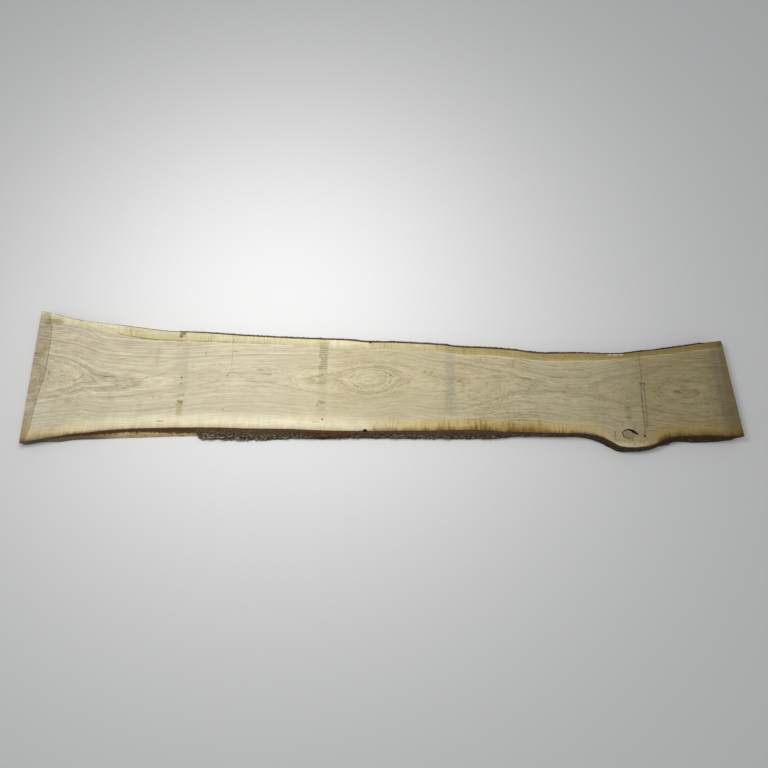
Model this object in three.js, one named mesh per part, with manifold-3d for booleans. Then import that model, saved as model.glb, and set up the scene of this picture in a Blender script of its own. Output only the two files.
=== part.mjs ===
// A live-edge oak board: sawn flat above and below, its two long edges left as the trunk grew,
// with the bark that still clings to them. Millimetres. X runs along the board, from the root flare
// at the left to the crown end at the right, Y runs across it from the near edge to the far edge,
// and it lies on its sawn underside.

import * as THREE from 'three';
import { mergeVertices } from 'three/addons/utils/BufferGeometryUtils.js';
import Module from 'manifold-3d';

const wasm = await Module();
wasm.setup();

// Driving dimensions
const LENGTH = 4890;            // between the outermost corners of the two cross cuts
const THICKNESS = 70;
const STATIONS = 128;           // sections along the board
const BARK_GAP = 0.45;          // between the wood and its bark, measured across the board

// The cross cuts aren't quite square: x changes by this much for each millimetre of y.
const LEFT_CUT_LEAN = -0.032;
const RIGHT_CUT_LEAN = -0.041;

// The trunk's round: how much fuller than a straight slope a side is, as a share of its run-out.
const SIDE_FULLNESS = 0.22;

// Depth below the top, as a share of the thickness, of each row of points down a side.
const NEAR_ROWS = [0, 0.06, 0.22, 0.42, 0.62, 0.82, 1];
const FAR_ROWS = [0, 0.06, 0.35, 0.68, 1];

// The top's far edge, [x, y]: wide at the root flare, a waist right of the middle, then wider again.
const FAR_EDGE = [
  [-2450, 552], [-2350, 530], [-2270, 506], [-2110, 472], [-1870, 441], [-1580, 401], [-1430, 387],
  [-1285, 381], [-990, 359], [-710, 342], [-430, 330], [-215, 321], [-90, 308], [70, 305], [245, 298],
  [445, 285], [540, 272], [775, 260], [950, 246], [1050, 231], [1145, 223], [1295, 225], [1475, 225],
  [1605, 220], [1720, 223], [1810, 235], [1935, 249], [2110, 274], [2300, 303], [2420, 318],
];

// The top's near edge, [x, y], with the swelling round the side knot at x 1400 to 1950.
const NEAR_EDGE = [
  [-2415, -411], [-2285, -386], [-2185, -370], [-2100, -354], [-1930, -336], [-1820, -323], [-1650, -313],
  [-1280, -306], [-1065, -308], [-850, -314], [-605, -317], [-440, -325], [-250, -330], [65, -331],
  [330, -328], [670, -324], [815, -333], [1000, -338], [1235, -346], [1330, -345], [1420, -355],
  [1495, -374], [1550, -404], [1600, -431], [1660, -441], [1755, -438], [1835, -421], [1910, -384],
  [1985, -367], [2095, -363], [2220, -361], [2330, -366], [2445, -365],
];

// How far the wood runs out below the top's edge by the time it meets the underside, [x, run-out].
const NEAR_RUN_OUT = [
  [-2415, 3], [-2290, 6], [-2180, 22], [-2020, 30], [-1810, 46], [-1640, 50], [-1250, 46], [-850, 46],
  [-600, 36], [-390, 33], [-155, 24], [330, 28], [735, 28], [905, 14], [1190, 9], [1400, 8], [1570, 14],
  [1750, 12], [1870, 16], [1935, 26], [2010, 18], [2170, 24], [2260, 22], [2400, 8], [2445, 4],
];
const FAR_RUN_OUT = [
  [-2450, 12], [-2100, 18], [-1500, 24], [-1000, 26], [0, 27], [1000, 26], [1500, 22], [2420, 18],
];

// Thickness of the bark, [x, thickness]. Each strip starts and ends with its table.
const NEAR_BARK = [
  [-1215, 24], [-1060, 24], [-930, 28], [-780, 24], [-600, 19], [-390, 17], [-155, 15], [65, 15],
  [330, 18], [515, 19], [735, 17], [905, 9], [1045, 11], [1190, 7], [1400, 8], [1470, 14], [1650, 13],
  [1870, 12], [1935, 15], [2010, 11], [2170, 14], [2260, 11], [2400, 7], [2418, 6],
];
const FAR_BARK = [
  [-1450, 5], [-1330, 8], [-1000, 10], [-500, 11], [0, 12], [600, 12], [1050, 13], [1500, 9], [1900, 9],
  [2330, 7],
];

// Where the near bark has gone, at the left, a hollow runs along under the top's edge, [x, depth].
const BARE_HOLLOW = [
  [-2340, 0], [-2200, 9], [-1900, 14], [-1500, 12], [-1260, 9], [-1150, 0],
];
const HOLLOW_ROW = 0.3;         // its deepest line, as a share of the thickness below the top
const HOLLOW_SPREAD = 0.16;

// The crack in the side knot and the drying check near the left end, as paths on the top, [x, y].
const KNOT_CRACK = [[1640, -334], [1676, -323], [1706, -341], [1730, -358]];
const KNOT_CRACK_SIZE = { width: 11, depth: 24 };
const END_CHECK = [[-2351, 441], [-2337, 288], [-2334, 87], [-2345, -20], [-2361, -199], [-2364, -323]];
const END_CHECK_SIZE = { width: 4, depth: 7 };
const KNOT_PIT = { x: 1777, y: -364, radius: 7, floorRadius: 4, depth: 9 };

// Small notches knocked out of the top's edges: the base lies on the edge, the tip points inwards.
const NEAR_NOTCH = { x: -102, width: 38, reach: 18, overhang: 8, depth: 28 };
const FAR_NOTCH = { x: -71, width: 26, reach: 11, overhang: 6, depth: 20 };

// A smooth curve through points [x, value], read as a function of x.
function curveThrough(points) {
  const last = points.length - 1;
  const slopes = points.map((_, i) => {
    const [x0, v0] = points[Math.max(i - 1, 0)];
    const [x1, v1] = points[Math.min(i + 1, last)];
    return (v1 - v0) / (x1 - x0);
  });
  return (x) => {
    let i = 0;
    while (i < last - 1 && points[i + 1][0] < x) i += 1;
    const [x0, v0] = points[i];
    const [x1, v1] = points[i + 1];
    const span = x1 - x0;
    const t = THREE.MathUtils.clamp((x - x0) / span, 0, 1);
    const t2 = t * t;
    const t3 = t2 * t;
    return v0 * (2 * t3 - 3 * t2 + 1) + v1 * (3 * t2 - 2 * t3)
      + span * (slopes[i] * (t3 - 2 * t2 + t) + slopes[i + 1] * (t3 - t2));
  };
}

const farEdge = curveThrough(FAR_EDGE);
const nearEdge = curveThrough(NEAR_EDGE);
const nearRunOut = curveThrough(NEAR_RUN_OUT);
const farRunOut = curveThrough(FAR_RUN_OUT);
const bareHollow = curveThrough(BARE_HOLLOW);

// A station is a line across the board, named by its x where it crosses y = 0. It leans as the
// nearer cross cut does, so that the first and last stations are the cuts themselves.
const firstStation = -LENGTH / 2 - LEFT_CUT_LEAN * farEdge(-LENGTH / 2);
const lastStation = LENGTH / 2 - RIGHT_CUT_LEAN * nearEdge(LENGTH / 2);

function xOn(station, y) {
  const share = (station - firstStation) / (lastStation - firstStation);
  return station + y * THREE.MathUtils.lerp(LEFT_CUT_LEAN, RIGHT_CUT_LEAN, share);
}

// Where a station's line meets a long edge, found by stepping back and forth between the two.
function edgeOn(station, edge) {
  let y = edge(station);
  for (let pass = 0; pass < 4; pass += 1) y = edge(xOn(station, y));
  return y;
}

const slopeOut = (row, runOut) => runOut * (row + SIDE_FULLNESS * Math.sin(Math.PI * row));

function nearSide(station, row, out = 0) {
  const edgeY = edgeOn(station, nearEdge);
  const x = xOn(station, edgeY);
  const hollow = bareHollow(x) * Math.exp(-(((row - HOLLOW_ROW) / HOLLOW_SPREAD) ** 2));
  const y = edgeY - slopeOut(row, nearRunOut(x)) + hollow * Math.sin(Math.PI * row) - out;
  return new THREE.Vector3(xOn(station, y), y, THICKNESS * (1 - row));
}

function farSide(station, row, out = 0) {
  const edgeY = edgeOn(station, farEdge);
  const y = edgeY + slopeOut(row, farRunOut(xOn(station, edgeY))) + out;
  return new THREE.Vector3(xOn(station, y), y, THICKNESS * (1 - row));
}

// A closed body through rings of points that run counter-clockwise as seen from the +X end. Each
// quad is split from its ring's upper point, so that two faces laid against each other match.
function loft(rings) {
  const count = rings[0].length;
  const triangles = [];
  for (let r = 0; r < rings.length - 1; r += 1) {
    for (let i = 0; i < count; i += 1) {
      const next = (i + 1) % count;
      const a = r * count + i;
      const b = r * count + next;
      if (rings[r][i].z >= rings[r][next].z) triangles.push(a, b, b + count, a, b + count, a + count);
      else triangles.push(a, b, a + count, b, b + count, a + count);
    }
  }
  const lastRing = (rings.length - 1) * count;
  const capOf = (ring) => THREE.ShapeUtils.triangulateShape(ring.map((p) => new THREE.Vector2(p.y, p.z)), []);
  for (const [a, b, c] of capOf(rings[0])) triangles.push(a, c, b);
  for (const [a, b, c] of capOf(rings[rings.length - 1])) triangles.push(lastRing + a, lastRing + b, lastRing + c);
  const geometry = new THREE.BufferGeometry();
  geometry.setAttribute('position', new THREE.Float32BufferAttribute(rings.flat().flatMap((p) => p.toArray()), 3));
  geometry.setIndex(triangles);
  return geometry;
}

function toSolid(geometry) {
  const bare = geometry.clone();
  bare.deleteAttribute('normal');
  bare.deleteAttribute('uv');
  const merged = mergeVertices(bare);
  return new wasm.Manifold(new wasm.Mesh({
    numProp: 3,
    vertProperties: Float32Array.from(merged.attributes.position.array),
    triVerts: Uint32Array.from(merged.index.array),
  }));
}

function toGeometry(solid) {
  const mesh = solid.getMesh();
  const geometry = new THREE.BufferGeometry();
  geometry.setAttribute('position', new THREE.BufferAttribute(mesh.vertProperties, 3));
  geometry.setIndex(new THREE.BufferAttribute(mesh.triVerts, 1));
  return geometry;
}

// A prism that stands in the top face: an outline [x, y] taken down to a depth below the top.
function prismInTop(outline, depth) {
  const clearance = 2;
  const shape = new THREE.Shape(outline.map(([x, y]) => new THREE.Vector2(x, y)));
  const prism = new THREE.ExtrudeGeometry(shape, { depth: depth + clearance, bevelEnabled: false });
  return prism.translate(0, 0, THICKNESS - depth);
}

// A crack: widest at its middle, drawn out to a point at both ends of its path.
function crackInTop(path, { width, depth }) {
  const steps = 14;
  const curve = new THREE.SplineCurve(path.map(([x, y]) => new THREE.Vector2(x, y)));
  const left = [];
  const right = [];
  for (let i = 1; i < steps; i += 1) {
    const t = i / steps;
    const point = curve.getPoint(t);
    const tangent = curve.getTangent(t);
    const half = 0.5 * width * Math.sqrt(Math.sin(Math.PI * t));
    left.push([point.x - tangent.y * half, point.y + tangent.x * half]);
    right.push([point.x + tangent.y * half, point.y - tangent.x * half]);
  }
  return prismInTop([path[0], ...right, path[path.length - 1], ...left.reverse()], depth);
}

// A notch in a long edge: `inward` is +1 where the board lies on the +Y side of that edge.
function notchInEdge(edge, inward, { x, width, reach, overhang, depth }) {
  const edgeY = edge(x);
  const outside = edgeY - inward * overhang;
  const tip = edgeY + inward * reach;
  return prismInTop([[x - width / 2, outside], [x + width / 2, outside], [x, tip]], depth);
}

function pitInTop({ x, y, radius, floorRadius, depth }) {
  const sides = 10;
  const pit = new THREE.CylinderGeometry(radius, floorRadius, 2 * depth, sides);
  return pit.rotateX(Math.PI / 2).translate(x, y, THICKNESS);
}

// Stations evenly spaced between two of the board's own, whose x at an edge lies within [from, to].
function stationsBetween(from, to, edge) {
  const all = Array.from({ length: STATIONS }, (_, i) => (
    THREE.MathUtils.lerp(firstStation, lastStation, i / (STATIONS - 1))));
  return all.filter((station) => {
    const x = xOn(station, edgeOn(station, edge));
    return x >= from && x <= to;
  });
}

// The board of wood
function oakSlab() {
  const nearRows = NEAR_ROWS;
  const farRows = [...FAR_ROWS].reverse();
  const rings = stationsBetween(-Infinity, Infinity, nearEdge).map((station) => [
    ...nearRows.map((row) => nearSide(station, row)),
    ...farRows.map((row) => farSide(station, row)),
  ]);
  let board = toSolid(loft(rings));
  const cuts = [
    crackInTop(KNOT_CRACK, KNOT_CRACK_SIZE),
    crackInTop(END_CHECK, END_CHECK_SIZE),
    pitInTop(KNOT_PIT),
    notchInEdge(nearEdge, 1, NEAR_NOTCH),
    notchInEdge(farEdge, -1, FAR_NOTCH),
  ];
  for (const cut of cuts) board = board.subtract(toSolid(cut));
  return toGeometry(board);
}

// How the bark's thickness changes down a side: worn at the sawn rims, and broken into long plates.
function barkRelief(x, row) {
  const rims = 0.72 + 0.28 * Math.sin(Math.PI * THREE.MathUtils.clamp(row * 1.1, 0, 1));
  const plates = Math.sin(x / 29 + 3 * row) * Math.sin(x / 67 - 5 * row);
  const furrows = Math.sin(x / 113 + 14 * row);
  return rims * (1 + 0.16 * plates + 0.12 * furrows);
}

// A strip of bark: its inner face follows the wood, its outer face stands off by the thickness.
function barkStrip(table, side, edge, rows, nearSideOfBoard) {
  const thickness = curveThrough(table);
  const stations = stationsBetween(table[0][0], table[table.length - 1][0], edge);
  const barkRows = rows.slice(1);
  const rings = stations.map((station) => {
    const inner = barkRows.map((row) => side(station, row, BARK_GAP));
    const outer = barkRows.map((row) => {
      const x = xOn(station, edgeOn(station, edge));
      return side(station, row, BARK_GAP + thickness(x) * barkRelief(x, row));
    });
    const ring = [...outer, ...inner.reverse()];
    return nearSideOfBoard ? ring : ring.reverse();
  });
  return loft(rings);
}

const OAK = new THREE.MeshStandardMaterial({ color: 0xcdbf9f, roughness: 0.75, metalness: 0 });
const BARK = new THREE.MeshStandardMaterial({ color: 0x4b4036, roughness: 0.95, metalness: 0 });

function named(name, geometry, material) {
  const mesh = new THREE.Mesh(geometry, material);
  mesh.name = name;
  return mesh;
}

const group = new THREE.Group();
group.add(named('oak_slab', oakSlab(), OAK));
group.add(named('near_bark', barkStrip(NEAR_BARK, nearSide, nearEdge, NEAR_ROWS, true), BARK));
group.add(named('far_bark', barkStrip(FAR_BARK, farSide, farEdge, FAR_ROWS, false), BARK));

// The origin is under the middle of the whole board, on what it lies on.
const bounds = new THREE.Box3().setFromObject(group);
const middle = bounds.getCenter(new THREE.Vector3());
group.position.set(-middle.x, -middle.y, -bounds.min.z);

export default group;
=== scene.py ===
# %% [markdown]
# # A live-edge oak board
# This is one board sawn through an oak trunk, almost five metres long. Its two sawn faces are flat, its
# two long edges are the outside of the trunk, and bark still clings to most of them. The packed solids
# give its true size and place, and everything below is made around them, in metres, in the same frame.
# It takes three pieces: the wood, and a strip of bark on each long side.

# %% Load the packed board
import math

import bpy
import numpy as np
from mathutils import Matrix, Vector


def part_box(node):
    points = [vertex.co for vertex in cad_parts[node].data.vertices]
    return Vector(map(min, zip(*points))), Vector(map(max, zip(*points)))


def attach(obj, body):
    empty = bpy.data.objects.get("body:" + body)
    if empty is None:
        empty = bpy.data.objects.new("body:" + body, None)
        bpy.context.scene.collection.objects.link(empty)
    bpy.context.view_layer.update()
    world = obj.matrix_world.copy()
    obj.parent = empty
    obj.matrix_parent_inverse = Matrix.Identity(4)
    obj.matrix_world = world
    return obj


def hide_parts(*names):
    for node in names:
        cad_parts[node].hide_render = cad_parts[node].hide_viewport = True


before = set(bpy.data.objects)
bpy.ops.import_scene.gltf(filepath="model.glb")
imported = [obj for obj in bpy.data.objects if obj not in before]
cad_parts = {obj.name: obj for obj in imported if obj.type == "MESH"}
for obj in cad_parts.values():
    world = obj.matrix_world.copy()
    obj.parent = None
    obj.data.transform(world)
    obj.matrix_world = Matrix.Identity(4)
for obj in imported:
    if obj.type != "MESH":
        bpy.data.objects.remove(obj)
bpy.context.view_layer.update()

MM = 0.001
print("packed nodes:", ", ".join(sorted(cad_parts)))

# %% [markdown]
# ## The camera
# The board is seen from above its near edge, through a wide lens. A camera can be made to track an empty.
# Here an angle, a distance and the point it aims at place it, because each of them can be changed alone.
# It comes first, because every later choice is judged through it.

# %% Camera
CAMERA_ELEVATION = math.radians(73.4)
CAMERA_DISTANCE = 3.539
CAMERA_AIM = Vector((0.0261, -0.0488, 0.070))
LENS = 24  # the lens and the sensor are in millimetres, the rest in metres
SENSOR = 36

camera_data = bpy.data.cameras.new("camera")
camera_data.lens = LENS
camera_data.sensor_width = SENSOR
camera = bpy.data.objects.new("camera", camera_data)
camera_arm = Vector((0, -math.cos(CAMERA_ELEVATION), math.sin(CAMERA_ELEVATION)))
camera.location = CAMERA_AIM + CAMERA_DISTANCE * camera_arm
camera.rotation_euler = (math.pi / 2 - CAMERA_ELEVATION, 0, 0)
bpy.context.scene.collection.objects.link(camera)
bpy.context.scene.camera = camera
print("camera at", [round(v, 3) for v in camera.location])

# %% [markdown]
# ## The shape of the trunk
# The outline was surveyed in millimetres: x along the board and y across it. It could be drawn as a Bezier
# curve, but numbers can be checked, and the bark and the sapwood read them again later. A few points on
# each long edge are enough, because a trunk is smooth: a curve through them gives the rest. Other short
# lists say how far the wood runs out below the top, and where the bare side is hollow.

# %% Surveyed dimensions, in millimetres
LENGTH = 4890
THICKNESS = 70
LEFT_CUT_LEAN = -0.032
RIGHT_CUT_LEAN = -0.041
SIDE_FULLNESS = 0.22

FAR_EDGE = [
    (-2450, 552), (-2350, 530), (-2270, 506), (-2110, 472), (-1870, 441), (-1580, 401), (-1430, 387),
    (-1285, 381), (-990, 359), (-710, 342), (-430, 330), (-215, 321), (-90, 308), (70, 305), (245, 298),
    (445, 285), (540, 272), (775, 260), (950, 246), (1050, 231), (1145, 223), (1295, 225), (1475, 225),
    (1605, 220), (1720, 223), (1810, 235), (1935, 249), (2110, 274), (2300, 303), (2420, 318),
]
NEAR_EDGE = [
    (-2415, -411), (-2285, -386), (-2185, -370), (-2100, -354), (-1930, -336), (-1820, -323),
    (-1650, -313), (-1280, -306), (-1065, -308), (-850, -314), (-605, -317), (-440, -325), (-250, -330),
    (65, -331), (330, -328), (670, -324), (815, -333), (1000, -338), (1235, -346), (1330, -345),
    (1420, -355), (1495, -374), (1550, -404), (1600, -431), (1660, -441), (1755, -438), (1835, -421),
    (1910, -384), (1985, -367), (2095, -363), (2220, -361), (2330, -366), (2445, -365),
]
NEAR_RUN_OUT = [
    (-2415, 3), (-2290, 6), (-2180, 22), (-2020, 30), (-1810, 46), (-1640, 50), (-1250, 46), (-850, 46),
    (-600, 36), (-390, 33), (-155, 24), (330, 28), (735, 28), (905, 14), (1190, 9), (1400, 8),
    (1570, 14), (1750, 12), (1870, 16), (1935, 26), (2010, 18), (2170, 24), (2260, 22), (2400, 8),
    (2445, 4),
]
FAR_RUN_OUT = [
    (-2450, 12), (-2100, 18), (-1500, 24), (-1000, 26), (0, 27), (1000, 26), (1500, 22), (2420, 18),
]
BARE_HOLLOW = [(-2340, 0), (-2200, 9), (-1900, 14), (-1500, 12), (-1260, 9), (-1150, 0)]
HOLLOW_ROW = 0.3  # rows are shares of the thickness below the top
HOLLOW_SPREAD = 0.16
print("points on the far and near edges:", len(FAR_EDGE), "and", len(NEAR_EDGE))


# %% Curves through the surveyed points
def curve_through(points):
    """A smooth curve through (x, value) points, which reads many x at once."""
    xs, values = np.array(points, float).T
    slopes = np.gradient(values, xs)
    slopes[1:-1] = (values[2:] - values[:-2]) / (xs[2:] - xs[:-2])

    def read(x):
        i = np.clip(np.searchsorted(xs, x) - 1, 0, len(xs) - 2)
        span = xs[i + 1] - xs[i]
        t = np.clip((x - xs[i]) / span, 0, 1)
        rise = values[i] * (2 * t**3 - 3 * t**2 + 1) + values[i + 1] * (3 * t**2 - 2 * t**3)
        return rise + span * (slopes[i] * (t**3 - 2 * t**2 + t) + slopes[i + 1] * (t**3 - t**2))

    return read


far_edge = curve_through(FAR_EDGE)
near_edge = curve_through(NEAR_EDGE)
far_run_out = curve_through(FAR_RUN_OUT)
near_run_out = curve_through(NEAR_RUN_OUT)
bare_hollow = curve_through(BARE_HOLLOW)

FIRST = -LENGTH / 2 - LEFT_CUT_LEAN * far_edge(-LENGTH / 2)
LAST = LENGTH / 2 - RIGHT_CUT_LEAN * near_edge(LENGTH / 2)
LEAN_CHANGE = (RIGHT_CUT_LEAN - LEFT_CUT_LEAN) / (LAST - FIRST)
print("stations run from", round(float(FIRST), 1), "to", round(float(LAST), 1))

# %% [markdown]
# A station is a line across the board. It could simply run along y, with the ends cut off by a boolean.
# Instead it leans as the nearer cross cut does, so the first and the last station are the cuts themselves,
# and their faces come out clean. The sides are read by a station and a row, which is the share of the
# thickness below the top.

# %% Stations
ROUNDS = 4


def x_on(station, y):
    """The x of a point on a station, at a distance y across the board."""
    return station + y * (LEFT_CUT_LEAN + (station - FIRST) * LEAN_CHANGE)


def station_at(x, y):
    """The station through a point."""
    return (x - y * (LEFT_CUT_LEAN - FIRST * LEAN_CHANGE)) / (1 + y * LEAN_CHANGE)


def edge_on(station, edge):
    """Where a station meets an edge. Both lean, so a few rounds close in on the point."""
    y = edge(station)
    for _ in range(ROUNDS):
        y = edge(x_on(station, y))
    return y


print("the first station meets the far edge at y =", round(float(edge_on(FIRST, far_edge)), 1))


# %% The two sides
def slope_out(row, run_out):
    """How far the wood runs out at a row: a straight slope with a full belly."""
    return run_out * (row + SIDE_FULLNESS * np.sin(np.pi * row))


def near_side(station, row, out=0.0):
    """Points on the near side, in the survey's millimetres, or `out` millimetres off it."""
    edge_y = edge_on(station, near_edge)
    x = x_on(station, edge_y)
    hollow = bare_hollow(x) * np.exp(-(((row - HOLLOW_ROW) / HOLLOW_SPREAD) ** 2))
    y = edge_y - slope_out(row, near_run_out(x)) + hollow * np.sin(np.pi * row) - out
    return np.stack(np.broadcast_arrays(x_on(station, y), y, THICKNESS * (1 - row)), -1)


def far_side(station, row, out=0.0):
    """The same on the far side, which has no hollow."""
    edge_y = edge_on(station, far_edge)
    y = edge_y + slope_out(row, far_run_out(x_on(station, edge_y))) + out
    return np.stack(np.broadcast_arrays(x_on(station, y), y, THICKNESS * (1 - row)), -1)


# The survey is moved so that the board's corners meet the corners of the packed one.
slab_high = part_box("oak_slab")[1]
far_corner = far_side(FIRST, 1.0)
near_corner = near_side(LAST, 1.0)
SHIFT = np.array([slab_high.x / MM - near_corner[0], slab_high.y / MM - far_corner[1], 0.0])
print("the survey moves by", SHIFT.round(2), "mm")


def to_metres(points):
    return (points + SHIFT) * MM


# %% [markdown]
# ## Meshes from rings of points
# The board and its bark are all lofts: closed rings of points, one for each station, joined by quads. A
# curve with a bevel would do for a round log, but here the section changes all the way. Small steps
# between the stations give the saw marks and the plates of bark room to be real relief.

# %% Noise, meshes and objects
def smooth_noise(x, spacing, seed):
    """Random values from -1 to 1 at even steps of x, joined by smooth curves."""
    knots = np.random.default_rng(seed).uniform(-1, 1, int(1.2 * LENGTH / spacing) + 4)
    u = np.clip((x + 0.6 * LENGTH) / spacing, 0, len(knots) - 2)
    i = np.floor(u).astype(int)
    t = u - i
    t = t * t * (3 - 2 * t)
    return knots[i] * (1 - t) + knots[i + 1] * t


def new_mesh(name, points, faces):
    mesh = bpy.data.meshes.new(name)
    mesh.from_pydata(points.tolist(), [], faces)
    mesh.validate()
    return mesh


def new_object(name, mesh):
    made = bpy.data.objects.new(name, mesh)
    bpy.context.scene.collection.objects.link(made)
    return made


print("smooth noise at five places:", smooth_noise(np.arange(5) * 10, 31, 1).round(2))


# %% Lofts and measures
def loft_faces(count, size):
    """Quads between `count` rings of `size` points, as lists of four indices."""
    ring = np.arange(count - 1)[:, None] * size
    here = ring + np.arange(size)[None, :]
    there = ring + np.roll(np.arange(size), -1)[None, :]
    return np.stack([here, there, there + size, here + size], -1).reshape(-1, 4).tolist()


def evaluated_mesh(source):
    """The mesh of an object with its modifiers in it; they are then removed."""
    graph = bpy.context.evaluated_depsgraph_get()
    mesh = bpy.data.meshes.new_from_object(source.evaluated_get(graph))
    source.modifiers.clear()
    source.data = mesh
    return mesh


def values_of(items, name):
    """One vector of each vertex or face of a mesh, as rows of three numbers."""
    values = np.empty(3 * len(items))
    items.foreach_get(name, values)
    return values.reshape(-1, 3)


def volume_of(mesh):
    """The volume in litres, which is positive when the faces point outwards."""
    mesh.calc_loop_triangles()
    corners = np.empty(len(mesh.loop_triangles) * 3, int)
    mesh.loop_triangles.foreach_get("vertices", corners)
    points = values_of(mesh.vertices, "co")[corners].reshape(-1, 3, 3)
    return 1000 * np.einsum("ij,ij->i", points[:, 0], np.cross(points[:, 1], points[:, 2])).sum() / 6


print("two rings of three points are joined by the quads", loft_faces(2, 3))


# %% [markdown]
# ## The board of wood
# The outline could be extruded in one go, but its faces would be as long as the board, with no points for
# a saw to mark. So it is a loft. Each section is a grid of rows down and columns across. The loft uses the
# rim of that grid, and the two end faces use all of it. The sharp top and bottom edges are worn back by
# about a millimetre, unevenly.

# %% The wood's sections
STATION_STEP = 2.5
ROWS = np.array([0, 0.012, 0.05, 0.12, 0.21, 0.31, 0.42, 0.54, 0.67, 0.81, 0.988, 1])
COLUMNS = 11
WORN_EDGE = 0.9
WORN_EDGE_VARIES = 0.5
WEAR_SPACING = 7

station_count = int((LAST - FIRST) / STATION_STEP) + 1
stations = np.linspace(FIRST, LAST, station_count)[:, None]


def worn(seed):
    """How far each point is worn back: only the top and bottom edges are."""
    wear = WORN_EDGE + WORN_EDGE_VARIES * smooth_noise(stations, WEAR_SPACING, seed)
    return np.where((ROWS == 0) | (ROWS == 1), wear, 0.0)


near_points = near_side(stations, ROWS[None, :], -worn(1))
far_points = far_side(stations, ROWS[None, :], -worn(2))
column_shares = 0.5 - 0.5 * np.cos(np.pi * np.arange(COLUMNS + 1) / COLUMNS)
shares = column_shares[None, None, :, None]
sections = near_points[:, :, None, :] * (1 - shares) + far_points[:, :, None, :] * shares
print("sections:", sections.shape[0], "with", sections.shape[1], "rows and", sections.shape[2], "columns")


# %% The board's loft and its end faces
def board_mesh():
    """The loft round the sections' rims, closed by a grid of quads at each end."""
    bottom = len(ROWS) - 1
    rim = [(row, 0) for row in range(bottom)]
    rim += [(bottom, column) for column in range(COLUMNS)]
    rim += [(row, COLUMNS) for row in range(bottom, 0, -1)]
    rim += [(0, column) for column in range(COLUMNS, 0, -1)]
    rim_rows, rim_columns = np.array(rim).T
    points = [sections[:, rim_rows, rim_columns].reshape(-1, 3)]
    faces = loft_faces(station_count, len(rim))
    taken = len(points[0])
    inner = [(row, column) for row in range(1, bottom) for column in range(1, COLUMNS)]
    for station in (0, station_count - 1):
        index = {spot: station * len(rim) + i for i, spot in enumerate(rim)}
        index.update({spot: taken + i for i, spot in enumerate(inner)})
        points.append(np.array([sections[station, row, column] for row, column in inner]))
        taken += len(inner)
        for row in range(bottom):
            for column in range(COLUMNS):
                quad = [(row, column), (row, column + 1), (row + 1, column + 1), (row + 1, column)]
                face = [index[spot] for spot in quad]
                faces.append(face[::-1] if station else face)
    return new_mesh("oak board", to_metres(np.concatenate(points)), faces)


board = new_object("oak_board", board_mesh())
print("board:", len(board.data.polygons), "faces,", round(volume_of(board.data), 1), "litres")

# %% [markdown]
# ## What is cut into the board
# The side knot has an open crack and a small pit, a drying check crosses the left end, the edges have two
# small notches, and there are a few small dark holes. Each could be a dark mark in the material, but then
# no edge would catch the light. So they are solids, cut away together by one boolean.

# %% Cuts, in millimetres
KNOT_CRACK = [(1642, -332), (1664, -321), (1690, -325), (1714, -339), (1736, -356)]
END_CHECK = [(-2351, 441), (-2337, 288), (-2334, 87), (-2345, -20), (-2361, -199), (-2364, -323)]
KNOT_CHECK = [(1741, -384), (1738, -401), (1742, -418)]
NEAR_NOTCH = [(-124, -9), (-80, -9), (-87, 4), (-96, 13), (-103, 19), (-111, 11), (-118, 2)]
FAR_NOTCH = [(-84, -6), (-77, 5), (-71, 11), (-65, 3), (-58, -6)]
HOLES = [  # x, y, radius, depth
    (1777, -364, 7, 9), (-1377, 47, 4, 8), (-1377, 5, 3, 6), (-392, -249, 4.5, 8), (-1560, -99, 2, 5),
    (1693, -391, 3.5, 5), (1703, -418, 3, 5),
]
CLEARANCE = 2
GROOVE_STEP = 9
HOLE_CORNERS = 12
TAPER = 0.7
print("small dark holes:", len(HOLES))


# %% Solids that cut
def groove(path, width, depth, seed, lean=1.0):
    """A V-shaped groove in the top, ragged, drawn out at both ends, and widest nearer the end it leans to."""
    path = np.array(path, float)
    along = np.concatenate([[0], np.cumsum(np.linalg.norm(np.diff(path, axis=0), axis=1))])
    steps = max(12, int(along[-1] / GROOVE_STEP))
    t = np.linspace(0, 1, steps + 1)
    middle = np.stack([curve_through(list(zip(along, path[:, k])))(t * along[-1]) for k in (0, 1)], -1)
    tangent = np.gradient(middle, axis=0)
    tangent /= np.linalg.norm(tangent, axis=1)[:, None]
    normal = np.stack([-tangent[:, 1], tangent[:, 0]], -1)
    ragged = np.random.default_rng(seed).uniform(0.55, 1, (steps + 1, 2))
    half = 0.5 * width * np.sqrt(np.sin(np.pi * np.clip(t**lean, 0.02, 0.98)))[:, None]
    left = middle + normal * half * ragged[:, :1]
    right = middle - normal * half * ragged[:, 1:]
    top = np.full((steps + 1, 1), THICKNESS + CLEARANCE)
    floor = THICKNESS - depth * half / half.max()
    tip = middle + 0.1 * normal * half
    rings = np.stack([
        np.hstack([left, top]), np.hstack([right, top]), np.hstack([tip, floor]),
    ], 1)
    faces = loft_faces(steps + 1, 3)
    faces += [[2, 1, 0], [3 * steps, 3 * steps + 1, 3 * steps + 2]]
    return rings.reshape(-1, 3), faces


def prism(outline, depth):
    """A block with an outline of (x, y) points that stands in the top face."""
    count = len(outline)
    outline = np.array(outline, float)
    after = np.roll(outline, -1, axis=0)
    if (outline[:, 0] * after[:, 1] - outline[:, 1] * after[:, 0]).sum() > 0:
        outline = outline[::-1]
    high = np.hstack([outline, np.full((count, 1), THICKNESS + CLEARANCE)])
    middle = outline.mean(axis=0)
    low = np.hstack([middle + TAPER * (outline - middle), np.full((count, 1), THICKNESS - depth)])
    faces = loft_faces(2, count)
    faces += [list(range(count - 1, -1, -1)), list(range(count, 2 * count))]
    return np.concatenate([high, low]), faces


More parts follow.
